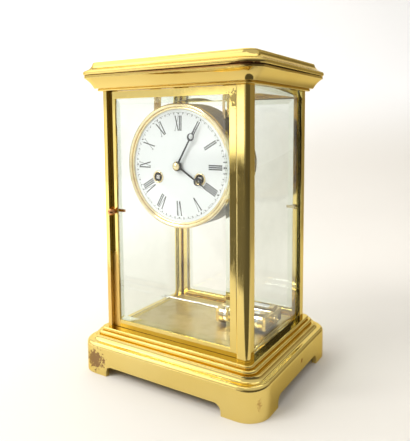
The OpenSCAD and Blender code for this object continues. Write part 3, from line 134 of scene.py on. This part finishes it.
paper, tree = new_material("sweep_paper")
place = object_place(tree)
rightward = vector_maths(tree, "DOT_PRODUCT", place, (0.848, 0.53, 0))
toward = vector_maths(tree, "DOT_PRODUCT", place, (0.53, -0.848, 0))
aside = vector_maths(tree, "DOT_PRODUCT", place, (1.07, 0.174, 0))
leftward = number_maths(tree, "MINIMUM", rightward, 0.0)
near = number_maths(tree, "MULTIPLY_ADD", leftward, 0.28, toward)
fibre = noise(tree, place, 900.0, 3.0)
cloud = noise(tree, place, 2.5, 2.0)
white = blend_colours(tree, cloud, (0.93, 0.925, 0.915, 1), (0.955, 0.95, 0.945, 1))
# Painted shade: low down on the right the paper turns a warmer grey.
low_part = ramp(tree, along_axis(tree, place, "Z"), 0.36, 0.08)
painted_shade_low_right = number_maths(tree, "MULTIPLY", ramp(tree, aside, -0.62, -0.10), low_part)
tone = blend_colours(tree, painted_shade_low_right, white, (0.72, 0.69, 0.635, 1))
# Painted dark reflection: the far right and the near side are darker, but only to glossy rays.
dim = blend_colours(tree, ramp(tree, aside, 0.24, 0.45), tone, (0.34, 0.31, 0.26, 1))
dim = blend_colours(tree, ramp(tree, near, 0.150, 0.165), dim, (0.065, 0.06, 0.05, 1))
rays = node(tree, "ShaderNodeLightPath").outputs
mirrored = number_maths(tree, "SUBTRACT", rays["Is Glossy Ray"], rays["Is Transmission Ray"], use_clamp=True)
tone = blend_colours(tree, mirrored, tone, dim)
surface(tree, {"Base Color": tone, "Roughness": 0.85, "Normal": relief(tree, 0.05, 0.0002, fibre)})
sweep.data.materials.append(paper)


# Light: three soft boxes, high on the left, in front and above, in a room with a pale wall on the left.
# A window lies ahead of that wall and the other sides are dim, so the polished metal mirrors light and dark.
# Seen straight or through glass, the room is plain and pale.
def soft_box(name, place, aim, size, watts, tint):
    bpy.ops.object.light_add(type="AREA", location=place)
    lamp = bpy.context.object
    lamp.name = name
    lamp.data.shape = "RECTANGLE"
    lamp.data.size, lamp.data.size_y = size
    lamp.data.energy = watts
    lamp.data.color = tint
    lamp.rotation_euler = (Vector(aim) - Vector(place)).to_track_quat("-Z", "Y").to_euler()
    return lamp


soft_box("left_soft_box", place=(-1.3, -0.5, 1.2), aim=(0, 0.1, 0.1), size=(1.7, 1.4), watts=8.5,
         tint=(1, 0.99, 0.98))
front_box = soft_box("front_soft_box", place=(-0.75, -1.25, 1.35), aim=(0, 0, 0.15), size=(0.9, 0.8), watts=25,
                     tint=(1, 0.99, 0.98))
front_box.visible_glossy = False
soft_box("top_soft_box", place=(-0.5, 0.5, 1.9), aim=(-0.1, 0.4, 0.1), size=(2.2, 2.0), watts=15,
         tint=(1, 1, 1))

room = bpy.data.worlds.new("studio_room")
room.use_nodes = True
room.node_tree.nodes.clear()
tree = room.node_tree
way = node(tree, "ShaderNodeTexCoord").outputs["Generated"]
height = along_axis(tree, way, "Z")


def facing(direction, low, high):
    return ramp(tree, vector_maths(tree, "DOT_PRODUCT", way, direction), low, high)


def pane(direction, low, high, bottom, top):
    seen = facing(direction, low, high)
    for edge in (bottom, top):
        seen = number_maths(tree, "MULTIPLY", seen, ramp(tree, height, *edge))
    return seen


left_wall = facing((-0.90, 0.43, 0), 0.06, 0.26)
window = number_maths(tree, "MULTIPLY", facing((-0.80, -0.52, 0), 0.20, 0.75), ramp(tree, height, -0.09, -0.02))
ceiling = number_maths(tree, "MULTIPLY", ramp(tree, height, 0.20, 0.65), 0.8)
light = number_maths(tree, "MAXIMUM", number_maths(tree, "MAXIMUM", left_wall, window), ceiling)
back_right = facing((0.53, 0.85, 0), 0.80, 0.95)
glow = blend_colours(tree, back_right, (0.13, 0.115, 0.09, 1), (0.36, 0.31, 0.23, 1))
glow = blend_colours(tree, light, glow, (1.0, 0.99, 0.97, 1))
left_pane = pane((-0.80, -0.60, 0), 0.925, 0.975, bottom=(-0.30, -0.20), top=(0.045, 0.02))
near_pane = pane((-0.46, -0.89, 0), 0.991, 0.998, bottom=(-0.075, -0.04), top=(0.075, 0.05))
glow = blend_colours(tree, left_pane, glow, (1.5, 1.48, 1.44, 1))
glow = blend_colours(tree, near_pane, glow, (3.0, 2.98, 2.9, 1))
rays = node(tree, "ShaderNodeLightPath").outputs
straight = number_maths(tree, "MAXIMUM", rays["Is Camera Ray"], rays["Is Transmission Ray"])
glow = blend_colours(tree, straight, glow, (1.0, 0.985, 0.96, 1))
background = node(tree, "ShaderNodeBackground", {"Color": glow, "Strength": 0.9})
node(tree, "ShaderNodeOutputWorld", {"Surface": background.outputs[0]})
scene.world = room
scene.view_settings.view_transform = "Standard"

# Camera: at the photograph's angle, a little above the dial and to the clock's right.
# The lens is shifted down, so that the uprights stay upright.
LOOK_DOWN, LOOK_ROUND, ROLL = 5.40, 32.08, -0.40
bpy.ops.object.camera_add(location=(0.23176, -0.37259, 0.21052))
camera = bpy.context.object
camera.data.lens = 41.27
camera.data.sensor_width = 36
camera.data.shift_y = -0.11
camera.data.clip_start = 0.01
camera.rotation_euler = (math.radians(90 - LOOK_DOWN), 0, math.radians(LOOK_ROUND))
camera.rotation_euler.rotate_axis("Z", math.radians(ROLL))
scene.camera = camera


# Case brass: cast and sawn brass, fire gilt and polished to a mirror, rubbed by years of dusting.
# Three effects make the finish: faint wipe marks, softened bright edges,
# and brown stains where hands or polish sat.
def new_group(name, inputs, outputs):
    group = bpy.data.node_groups.new(name, "ShaderNodeTree")
    for title, kind, value in inputs:
        socket = group.interface.new_socket(title, in_out="INPUT", socket_type=kind)
        socket.default_value = value
    for title, kind in outputs:
        group.interface.new_socket(title, in_out="OUTPUT", socket_type=kind)
    return group, group.nodes.new("NodeGroupInput").outputs, group.nodes.new("NodeGroupOutput")


def use_group(tree, group, inputs):
    return node(tree, "ShaderNodeGroup", inputs, node_tree=group).outputs


wipe_marks, given, out = new_group(
    "wipe_marks",
    [("Vector", "NodeSocketVector", (0, 0, 0)), ("Direction", "NodeSocketVector", (1, 1, 1)),
     ("Wave", "NodeSocketFloat", 30.0)],
    [("Marks", "NodeSocketFloat"), ("Haze", "NodeSocketFloat"), ("Height", "NodeSocketFloat")])
stretched = vector_maths(wipe_marks, "MULTIPLY", given["Vector"], given["Direction"])
hair = noise(wipe_marks, stretched, 1.0, 4.0, Roughness=0.65)
wave = noise(wipe_marks, given["Vector"], given["Wave"], 2.0)
haze = noise(wipe_marks, given["Vector"], 75.0, 5.0, Roughness=0.6, Distortion=0.6)
marks = ramp(wipe_marks, hair, 0.55, 0.72)
wipe_marks.links.new(marks, out.inputs["Marks"])
wipe_marks.links.new(ramp(wipe_marks, haze, 0.42, 0.68), out.inputs["Haze"])
wipe_marks.links.new(number_maths(wipe_marks, "MULTIPLY_ADD", marks, 0.05, wave), out.inputs["Height"])

soft_edges, given, out = new_group(
    "soft_edges",
    [("Radius", "NodeSocketFloat", 0.0004)],
    [("Edge", "NodeSocketFloat"), ("Normal", "NodeSocketVector")])
rounded = node(soft_edges, "ShaderNodeBevel", {"Radius": given["Radius"]}, samples=6).outputs["Normal"]
flat = node(soft_edges, "ShaderNodeNewGeometry").outputs["Normal"]
turned = vector_maths(soft_edges, "DOT_PRODUCT", rounded, flat)
soft_edges.links.new(ramp(soft_edges, turned, 0.995, 0.90), out.inputs["Edge"])
soft_edges.links.new(rounded, out.inputs["Normal"])

stain_patch, given, out = new_group(
    "stain_patch",
    [("Vector", "NodeSocketVector", (0, 0, 0)), ("Centre", "NodeSocketVector", (0, 0, 0)),
     ("Spread", "NodeSocketVector", (1, 1, 1)), ("Ragged", "NodeSocketFloat", 0.8),
     ("Grain", "NodeSocketFloat", 300.0)],
    [("Stain", "NodeSocketFloat")])
offset = vector_maths(stain_patch, "SUBTRACT", given["Vector"], given["Centre"])
reach = vector_maths(stain_patch, "LENGTH", vector_maths(stain_patch, "DIVIDE", offset, given["Spread"]))
grain = noise(stain_patch, given["Vector"], given["Grain"], 4.0, Roughness=0.6)
ragged = number_maths(stain_patch, "SUBTRACT", grain, 0.5)
ragged_reach = number_maths(stain_patch, "MULTIPLY_ADD", ragged, given["Ragged"], reach)
stain_patch.links.new(ramp(stain_patch, ragged_reach, 1.05, 0.75), out.inputs["Stain"])


def blend_values(tree, factor, first, second):
    return node(tree, "ShaderNodeMix", {0: factor, 2: first, 3: second}, data_type="FLOAT").outputs[0]


# A stain's centre and spread are in millimetres, and so is the width of the softened edges.
def polished_brass(name, gold, deep, gloss=0.07, stains=(), edge=0.35):
    material, tree = new_material(name)
    place = object_place(tree)
    wipes = use_group(tree, wipe_marks, {"Vector": place, "Direction": (700, 700, 90), "Wave": 24.0})
    rims = use_group(tree, soft_edges, {"Radius": edge * mm})
    tone = noise(tree, place, 14.0, 3.0)
    colour = blend_colours(tree, ramp(tree, tone, 0.3, 0.75), gold, deep)
    colour = blend_colours(tree, rims["Edge"], colour, (0.89, 0.72, 0.30, 1))
    rough = blend_values(tree, wipes["Haze"], gloss, gloss + 0.05)
    rough = blend_values(tree, wipes["Marks"], rough, gloss + 0.10)
    for stain in stains:
        patch = use_group(tree, stain_patch, {
            "Vector": place, "Centre": [c * mm for c in stain["centre"]],
            "Spread": [s * mm for s in stain["spread"]], "Ragged": stain["ragged"],
            "Grain": stain["grain"]})["Stain"]
        colour = blend_colours(tree, patch, colour, stain["tint"])
        rough = blend_values(tree, patch, rough, 0.38)
    surface(tree, {
        "Base Color": colour, "Metallic": 1.0, "Specular Tint": (0.90, 0.78, 0.48, 1), "Roughness": rough,
        "Normal": relief(tree, 0.12, 0.0006, wipes["Height"], Normal=rims["Normal"])})
    return material


def dress(material, *nodes):
    for name in nodes:
        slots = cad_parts[name].data.materials
        for i in range(len(slots)):
            slots[i] = material


# Plinth: a moulded brass base on four bracket feet, soldered up and gilt.
# Its left foot has a brown stain, and small spots of lost gilding sit by the front right corner
# and on the right side.
GOLD = (0.82, 0.65, 0.235, 1)
DEEP_GOLD = (0.76, 0.575, 0.175, 1)
RUST = (0.42, 0.20, 0.06, 1)
plinth_brass = polished_brass("plinth_brass", GOLD, DEEP_GOLD, stains=(
    dict(centre=(-67.5, -73, 12.5), spread=(11, 5, 8), tint=(0.31, 0.19, 0.09, 1), ragged=2.9, grain=420),
    dict(centre=(84, -66, 13), spread=(2, 2, 4), tint=(0.58, 0.38, 0.12, 1), ragged=4.0, grain=900),
    dict(centre=(87, 6, 17), spread=(2, 2, 2), tint=RUST, ragged=2.6, grain=600)))
dress(plinth_brass, "plinth")

# Floor sheet: a plain brass plate laid in the base.
# It is grained along its length and lacquered to a satin finish.
floor_brass, tree = new_material("satin_floor_brass")
place = object_place(tree)
grain = use_group(tree, wipe_marks, {"Vector": place, "Direction": (60, 2400, 900), "Wave": 40.0})
tone = blend_colours(tree, grain["Haze"], (0.52, 0.42, 0.19, 1), (0.47, 0.37, 0.15, 1))
tone = blend_colours(tree, grain["Marks"], tone, (0.58, 0.48, 0.25, 1))
surface(tree, {
    "Base Color": tone, "Metallic": 1.0, "Roughness": blend_values(tree, grain["Haze"], 0.30, 0.40),
    "Normal": relief(tree, 0.10, 0.0002, grain["Marks"])})
dress(floor_brass, "floor_plate")

# Posts: four drawn brass posts, gilt, screwed between plinth and cornice, with strips that stop the doors.
# Two of them are stepped for a latch, and the front one of these is a deeper, redder gold low down.
# The plain two have more rounded corners.
post_brass = polished_brass("post_brass", GOLD, DEEP_GOLD, stains=(
    dict(centre=(-69, -56, 62), spread=(9, 9, 34), tint=(0.80, 0.54, 0.17, 1), ragged=0.7, grain=60),))
dress(post_brass, "front_left_post", "rear_right_post", "door_stops")
plain_post_brass = polished_brass("plain_post_brass", GOLD, DEEP_GOLD, edge=1.1)
dress(plain_post_brass, "front_right_post", "rear_left_post")

# Cornice and lid: a moulded brass top, and the lid seated on it over the screws that hold the posts.
# A worn brown line follows the seam to the front right corner, where knocks have left dark marks.
BROWN = (0.16, 0.07, 0.025, 1)
# Painted shade: the cornice's gold is the case gold made darker, to tone the top down.
shaded_cornice_brass = polished_brass("shaded_cornice_brass", (0.72, 0.555, 0.19, 1), (0.67, 0.49, 0.145, 1), stains=(
    dict(centre=(70, -66, 251), spread=(16, 10, 1.5), tint=BROWN, ragged=1.6, grain=420),
    dict(centre=(30, -70, 250.6), spread=(60, 6, 0.9), tint=RUST, ragged=1.2, grain=300),
    dict(centre=(80, -20, 250.6), spread=(8, 62, 0.7), tint=BROWN, ragged=0.8, grain=380)))
dress(shaded_cornice_brass, "cornice", "top_lid")

# Case screws and hinge pins: small turned pieces with a brass finish, duller than the case.
# The screws hold the posts from above and below; the doors swing on the pins.
screw_brass = polished_brass("screw_brass", DEEP_GOLD, (0.80, 0.55, 0.18, 1), gloss=0.16, edge=0.15)
dress(screw_brass, "case_screws", "hinge_pins")


# Glass: four plates of polished plate glass, two in the doors and two in grooves in the posts.
# Each has a ground bevel all round, faintly green, and the side plates are tinted a little darker than the
# doors: painted shade.
def plate_glass(name, bright, dim):
    material, tree = new_material(name)
    place = object_place(tree)
    smear = use_group(tree, wipe_marks, {"Vector": place, "Direction": (30, 30, 12), "Wave": 9.0})
    lean = vector_maths(tree, "ABSOLUTE", node(tree, "ShaderNodeNewGeometry").outputs["True Normal"])
    face = number_maths(tree, "MAXIMUM", along_axis(tree, lean, "X"), along_axis(tree, lean, "Y"))
    tint = blend_colours(tree, smear["Haze"], bright, dim)
    tint = blend_colours(tree, ramp(tree, face, 0.9995, 0.996), tint, (0.74, 0.80, 0.70, 1))
    body = node(tree, "ShaderNodeBsdfPrincipled", {
        "Base Color": tint, "Metallic": 0.0, "Transmission Weight": 1.0, "IOR": 1.5,
        "Roughness": blend_values(tree, smear["Haze"], 0.0, 0.012),
        "Normal": relief(tree, 0.02, 0.0003, smear["Height"])})
    rays = node(tree, "ShaderNodeLightPath").outputs
    passing = number_maths(tree, "MAXIMUM", rays["Is Shadow Ray"], rays["Is Diffuse Ray"])
    clear = node(tree, "ShaderNodeBsdfTransparent", {"Color": (0.95, 0.97, 0.95, 1)})
    mixed = node(tree, "ShaderNodeMixShader", {0: passing, 1: body.outputs[0], 2: clear.outputs[0]})
    node(tree, "ShaderNodeOutputMaterial", {"Surface": mixed.outputs[0]})
    return material


door_glass = plate_glass("door_plate_glass", (0.955, 0.968, 0.95, 1), (0.94, 0.955, 0.935, 1))
# Painted shade: the side plates are the door glass tinted darker.
shaded_side_glass = plate_glass("shaded_side_plate_glass", (0.85, 0.88, 0.835, 1), (0.825, 0.855, 0.81, 1))
dress(door_glass, "front_door_glass", "rear_door_glass")
dress(shaded_side_glass, "left_glass", "right_glass")

# Doors: two brass frames on hinge pins, gilt like the posts, each with a small turn latch.
# The front one is worn by fingers at the top of its hinge side, and is a deeper, redder gold low down on its
# latch side.
# Its latch has gone copper red.
door_brass = polished_brass("door_brass", GOLD, DEEP_GOLD, stains=(
    dict(centre=(56, -51, 229), spread=(6, 4, 6), tint=(0.46, 0.35, 0.12, 1), ragged=4.5, grain=520),
    dict(centre=(-61, -51, 66), spread=(6, 6, 40), tint=(0.79, 0.53, 0.16, 1), ragged=0.7, grain=60)))
dress(door_brass, "front_door_frame", "rear_door_frame")
latch_copper = polished_brass("latch_copper", (0.80, 0.42, 0.20, 1), (0.62, 0.30, 0.13, 1), gloss=0.18,
                              edge=0.15)
dress(latch_copper, "front_latch")
rear_latch_brass = polished_brass("rear_latch_brass", (0.60, 0.52, 0.33, 1), (0.45, 0.38, 0.22, 1), gloss=0.2,
                                  edge=0.15)
dress(rear_latch_brass, "rear_latch")


# Movement frame: two round plates of hard brass on turned pillars, hung from the cornice by two straps.
# The brass is stoned and grained, never gilt, and has gone slightly brown.
# Screws, nuts and the suspension spring are steel.
def grained_metal(name, light, dark, smooth, rough, direction, edge=0.15):
    material, tree = new_material(name)
    place = object_place(tree)
    grain = use_group(tree, wipe_marks, {"Vector": place, "Direction": direction, "Wave": 60.0})
    rims = use_group(tree, soft_edges, {"Radius": edge * mm})
    tone = blend_colours(tree, grain["Haze"], light, dark)
    tone = blend_colours(tree, rims["Edge"], tone, [min(1, c * 1.15) for c in light[:3]] + [1])
    gloss = blend_values(tree, grain["Haze"], smooth, rough)
    gloss = blend_values(tree, grain["Marks"], gloss, rough + 0.08)
    surface(tree, {
        "Base Color": tone, "Metallic": 1.0, "Roughness": gloss,
        "Normal": relief(tree, 0.10, 0.0002, grain["Marks"], Normal=rims["Normal"])})
    return material


plate_brass = grained_metal("plate_brass", (0.80, 0.60, 0.26, 1), (0.62, 0.43, 0.16, 1),
                            smooth=0.20, rough=0.32, direction=(1800, 900, 120))
dress(plate_brass, "movement_brackets", "front_plate", "back_plate", "plate_pillars", "minute_wheel_cock",
      "suspension_cock", "bell_stand")
screw_steel = grained_metal("screw_steel", (0.46, 0.47, 0.50, 1), (0.30, 0.31, 0.34, 1),
                            smooth=0.18, rough=0.30, direction=(1500, 400, 1500))
dress(screw_steel, "movement_screws", "pillar_nuts", "suspension_spring", "bell_nut")

# Wheels: both trains and the motion work, cut from hard sheet brass, on arbors carried by the plates.
# The clicks, the anchor with its crutch and the hammer are filed from steel and polished.
wheel_brass = grained_metal("wheel_brass", (0.88, 0.67, 0.28, 1), (0.72, 0.50, 0.18, 1),
                            smooth=0.16, rough=0.28, direction=(900, 300, 900))
dress(wheel_brass, "hour_wheel", "minute_wheel", "going_barrel", "intermediate_wheel", "centre_wheel",
      "third_wheel", "escape_wheel", "strike_barrel", "pin_wheel", "warning_wheel", "strike_fly",
      "cannon_pinion")
lever_steel = grained_metal("lever_steel", (0.56, 0.57, 0.59, 1), (0.40, 0.41, 0.43, 1),
                            smooth=0.14, rough=0.26, direction=(1500, 300, 700))
dress(lever_steel, "going_click", "strike_click", "pallet_anchor", "crutch", "strike_hammer")

# Winding arbors: two turned steel arbors, each with its ratchet, pivoted in the plates.
# The filed square in front is bright; the ratchet behind the dial is painted dark brown, painted shade deep in
# the winding holes.
SQUARE_REACH, RATCHET_REACH = 2.0 * mm, 2.8 * mm
for name in ("going_winding_arbor", "strike_winding_arbor"):
    low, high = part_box(name)
    arbor_steel, tree = new_material(name + "_steel")
    place = object_place(tree)
    grain = use_group(tree, wipe_marks, {"Vector": place, "Direction": (1500, 300, 700), "Wave": 60.0})
    axis_at = ((low.x + high.x) / 2, 0, (low.z + high.z) / 2)
    away = vector_maths(tree, "SUBTRACT", place, axis_at)
    away = vector_maths(tree, "MULTIPLY", away, (1, 0, 1))
    away = vector_maths(tree, "LENGTH", away)
    # Painted shade: the ratchet, deep in the winding hole, is coloured dark brown.
    ratchet_shade = ramp(tree, away, SQUARE_REACH, RATCHET_REACH)
    tone = blend_colours(tree, grain["Haze"], (0.66, 0.65, 0.62, 1), (0.50, 0.49, 0.46, 1))
    tone = blend_colours(tree, ratchet_shade, tone, (0.13, 0.11, 0.06, 1))
    surface(tree, {
        "Base Color": tone, "Metallic": 1.0, "Roughness": blend_values(tree, ratchet_shade, 0.18, 0.38),
        "Normal": relief(tree, 0.10, 0.0002, grain["Marks"])})
    dress(arbor_steel, name)

# Bell: a turned cup of bell metal behind the movement, held on its stand by a nut.
# It was polished once and has gone pale and dull with age.
bell_metal = grained_metal("bell_metal", (0.91, 0.90, 0.77, 1), (0.83, 0.82, 0.69, 1),
                           smooth=0.22, rough=0.34, direction=(300, 1400, 300))
dress(bell_metal, "bell")

# Bezel and drum: a turned, moulded ring round the dial, soldered to a drum of sheet brass round the movement.
# The ring is polished; the drum behind it was left from the rolls, and its nearly black colour is painted
# shade.
RING_BACK, DRUM_FRONT = -40.2 * mm, -39.0 * mm
bezel_brass, tree = new_material("bezel_brass")
place = object_place(tree)
wipes = use_group(tree, wipe_marks, {"Vector": place, "Direction": (500, 60, 500), "Wave": 40.0})
rims = use_group(tree, soft_edges, {"Radius": 0.2 * mm})
behind = ramp(tree, along_axis(tree, place, "Y"), RING_BACK, DRUM_FRONT)
bright = blend_colours(tree, wipes["Haze"], (0.90, 0.79, 0.50, 1), (0.82, 0.68, 0.38, 1))
bright = blend_colours(tree, rims["Edge"], bright, (1.0, 0.90, 0.62, 1))
# Painted shade: the drum behind the ring is coloured nearly black.
dull = blend_colours(tree, wipes["Haze"], (0.13, 0.125, 0.105, 1), (0.10, 0.08, 0.05, 1))
surface(tree, {
    "Base Color": blend_colours(tree, behind, bright, dull), "Metallic": 1.0,
    "Roughness": blend_values(tree, behind, blend_values(tree, wipes["Haze"], 0.08, 0.14), 0.34),
    "Normal": relief(tree, 0.10, 0.0004, wipes["Height"], Normal=rims["Normal"])})
dress(bezel_brass, "bezel")

# Grommets and hand nut: small turned brass eyes pressed into the dial's winding holes,
# and the domed nut that holds the hands, all polished.
eye_brass = polished_brass("eye_brass", (0.92, 0.80, 0.50, 1), (0.84, 0.68, 0.34, 1), gloss=0.10, edge=0.2)
dress(eye_brass, "winding_grommets", "hand_nut")

# Dial: a domed copper disc fired with white enamel.
# The enamel is glassy, a touch cool, with faint ripples from the kiln.
enamel, tree = new_material("white_enamel")
place = object_place(tree)
ripple = noise(tree, place, 70.0, 2.0)
speck = noise(tree, place, 1500.0, 2.0)
tone = blend_colours(tree, ripple, (0.815, 0.83, 0.875, 1), (0.79, 0.81, 0.855, 1))
tone = blend_colours(tree, ramp(tree, speck, 0.74, 0.80), tone, (0.62, 0.60, 0.56, 1))
surface(tree, {
    "Base Color": tone, "Roughness": blend_values(tree, ripple, 0.12, 0.20), "Coat Weight": 0.5,
    "Coat Roughness": 0.06, "Normal": relief(tree, 0.04, 0.0005, ripple)})
dress(enamel, "dial")

# Dial print: Roman hours, a minute track between two hair lines, and a spot at each hour.
# It is black enamel colour laid on with a transfer and fired,
# so it stands a few hundredths of a millimetre above the white.
print_black, tree = new_material("fired_black")
place = object_place(tree)
grain = noise(tree, place, 2600.0, 3.0)
tone = blend_colours(tree, ramp(tree, grain, 0.35, 0.7), (0.012, 0.012, 0.015, 1), (0.05, 0.05, 0.056, 1))
surface(tree, {
    "Base Color": tone, "Roughness": blend_values(tree, grain, 0.22, 0.4),
    "Normal": relief(tree, 0.15, 0.00005, grain)})

dial_low, dial_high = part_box("dial")
dial_at = Vector(((dial_low.x + dial_high.x) / 2, dial_low.y - 1 * mm, (dial_low.z + dial_high.z) / 2))
UPRIGHT = (math.pi / 2, 0, 0)


def lay_on_dial(print_piece, thick=0.05):
    bpy.ops.object.transform_apply(location=True, rotation=True, scale=True)
    wrap = print_piece.modifiers.new("on_enamel", "SHRINKWRAP")
    wrap.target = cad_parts["dial"]
    wrap.wrap_method = "PROJECT"
    wrap.use_project_x = wrap.use_project_z = False
    wrap.use_project_y = True
    wrap.use_negative_direction = wrap.use_positive_direction = True
    wrap.offset = 0.0
    skin = print_piece.modifiers.new("colour_depth", "SOLIDIFY")
    skin.thickness = thick * mm
    skin.offset = 1
    for modifier in ("on_enamel", "colour_depth"):
        bpy.ops.object.modifier_apply(modifier=modifier)
    print_piece.data.materials.append(print_black)
    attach(print_piece, "case")


def blank_print(name):
    bpy.ops.object.select_all(action="DESELECT")
    bpy.ops.mesh.primitive_plane_add(size=1 * mm, rotation=UPRIGHT)
    piece = bpy.context.object
    piece.name = name
    bpy.ops.object.transform_apply(rotation=True)
    bpy.ops.object.mode_set(mode="EDIT")
    bpy.ops.mesh.delete(type="VERT")
    return piece


def stroke(foot_x, top_x, low, high, width):
    middle = (foot_x, 0, (low + high) / 2)
    bpy.ops.mesh.select_all(action="DESELECT")
    bpy.ops.mesh.primitive_plane_add(size=1, rotation=UPRIGHT, location=middle)
    bpy.ops.transform.resize(value=(width, 1, high - low), center_override=middle)
    bpy.ops.object.mode_set(mode="OBJECT")
    mesh = bpy.context.object.data
    for vertex in mesh.vertices:
        vertex.select = vertex.select and vertex.co.z > (low + high) / 2
    for part in (mesh.edges, mesh.polygons):
        for item in part:
            item.select = False
    bpy.ops.object.mode_set(mode="EDIT")
    bpy.ops.transform.translate(value=(top_x - foot_x, 0, 0))


NUMERAL_FOOT, NUMERAL_TOP = 28.3 * mm, 40.1 * mm
HEAVY, HAIR, SERIF = 0.95 * mm, 0.36 * mm, 0.36 * mm
WIDTHS = {"I": 1.5 * mm, "V": 3.5 * mm, "X": 3.9 * mm}
LETTER_GAP = 0.7 * mm
I_BAR, V_HEAVY_BAR, V_HAIR_BAR, X_BAR = 1.35 * mm, 1.5 * mm, 1.0 * mm, 1.4 * mm


def letter(kind, x):
    foot, top, half = NUMERAL_FOOT, NUMERAL_TOP, (WIDTHS[kind] - LETTER_GAP) / 2
    if kind == "I":
        stroke(x, x, foot, top, HEAVY)
        bars = ((x, foot, I_BAR), (x, top - SERIF, I_BAR))
    elif kind == "V":
        stroke(x, x - half, foot, top, HEAVY)
        stroke(x + HEAVY / 3, x + half, foot, top, HAIR)
        bars = ((x - half, top - SERIF, V_HEAVY_BAR), (x + half, top - SERIF, V_HAIR_BAR))
    else:
        stroke(x + half, x - half, foot, top, HEAVY)
        stroke(x - half, x + half, foot, top, HAIR)
        bars = tuple((x + s * half, z, X_BAR) for s in (-1, 1) for z in (foot, top - SERIF))
    for bar_x, bar_z, bar_w in bars:
        stroke(bar_x, bar_x, bar_z, bar_z + SERIF, bar_w)


for hour, letters in enumerate(("XII", "I", "II", "III", "IIII", "V", "VI", "VII", "VIII", "IX", "X", "XI")):
    numeral = blank_print("numeral_%02d" % (hour or 12))
    x = -sum(WIDTHS[k] for k in letters) / 2
    for kind in letters:
        letter(kind, x + WIDTHS[kind] / 2)
        x += WIDTHS[kind]
    bpy.ops.object.mode_set(mode="OBJECT")
    numeral.location = dial_at
    numeral.rotation_euler = (0, math.radians(30 * hour), 0)
    lay_on_dial(numeral)


def repeat_round(count):
    bpy.ops.mesh.select_all(action="SELECT")
    bpy.ops.mesh.spin(dupli=True, steps=count, angle=math.tau, center=(0, 0, 0), axis=(0, 1, 0))


MINUTE_FOOT, MINUTE_TOP, MINUTE_WIDTH = 41.25 * mm, 42.55 * mm, 0.66 * mm
TRACK_RADII, LINE_WIDTH = (41.15 * mm, 42.6 * mm), 0.30 * mm
track = blank_print("minute_track")
stroke(0, 0, MINUTE_FOOT, MINUTE_TOP, MINUTE_WIDTH)
repeat_round(60)
for radius in TRACK_RADII:
    bpy.ops.mesh.select_all(action="DESELECT")
    bpy.ops.mesh.primitive_circle_add(radius=radius, vertices=240, rotation=UPRIGHT)
    bpy.ops.mesh.extrude_edges_move()
    bpy.ops.transform.resize(value=((radius + LINE_WIDTH) / radius,) * 3, center_override=(0, 0, 0))
bpy.ops.object.mode_set(mode="OBJECT")
track.location = dial_at
lay_on_dial(track, 0.03)

SPOT_RADIUS, SPOT_OUT = 0.62 * mm, 42.0 * mm
hour_spot = blank_print("hour_spots")
bpy.ops.mesh.primitive_circle_add(radius=SPOT_RADIUS, vertices=20, fill_type="TRIFAN", rotation=UPRIGHT,
                                  location=(0, 0, SPOT_OUT))
repeat_round(12)
bpy.ops.object.mode_set(mode="OBJECT")
hour_spot.location = dial_at
lay_on_dial(hour_spot, 0.06)

# Hands: slim moon hands, pierced and filed from sheet steel and blacked.
# They sit one before the other on the motion work, under the hand nut.
hand_black, tree = new_material("blacked_steel")
place = object_place(tree)
grain = use_group(tree, wipe_marks, {"Vector": place, "Direction": (900, 900, 900), "Wave": 120.0})
rims = use_group(tree, soft_edges, {"Radius": 0.1 * mm})
tone = blend_colours(tree, grain["Haze"], (0.018, 0.019, 0.022, 1), (0.035, 0.036, 0.042, 1))
tone = blend_colours(tree, rims["Edge"], tone, (0.09, 0.09, 0.10, 1))
surface(tree, {
    "Base Color": tone, "Metallic": 0.6, "Roughness": blend_values(tree, grain["Haze"], 0.22, 0.34),
    "Normal": relief(tree, 0.08, 0.0001, grain["Height"], Normal=rims["Normal"])})
dress(hand_black, "hour_hand", "minute_hand")

# Pendulum: a thin steel rod with a hook, and a pair of silvered vials held in a brass stirrup with caps.
# It is off its hook and lies loose on the floor sheet.
rod_steel = grained_metal("rod_steel", (0.74, 0.73, 0.70, 1), (0.58, 0.56, 0.52, 1),
                          smooth=0.12, rough=0.24, direction=(120, 1800, 1800))
dress(rod_steel, "pendulum_rod")
vial_silver = grained_metal("vial_silver", (0.86, 0.86, 0.86, 1), (0.74, 0.74, 0.73, 1),
                            smooth=0.05, rough=0.12, direction=(60, 900, 900))
dress(vial_silver, "pendulum_vials")
cap_brass = polished_brass("cap_brass", (0.74, 0.62, 0.36, 1), (0.55, 0.43, 0.22, 1), gloss=0.16, edge=0.2)
dress(cap_brass, "pendulum_stirrup", "rating_nut")
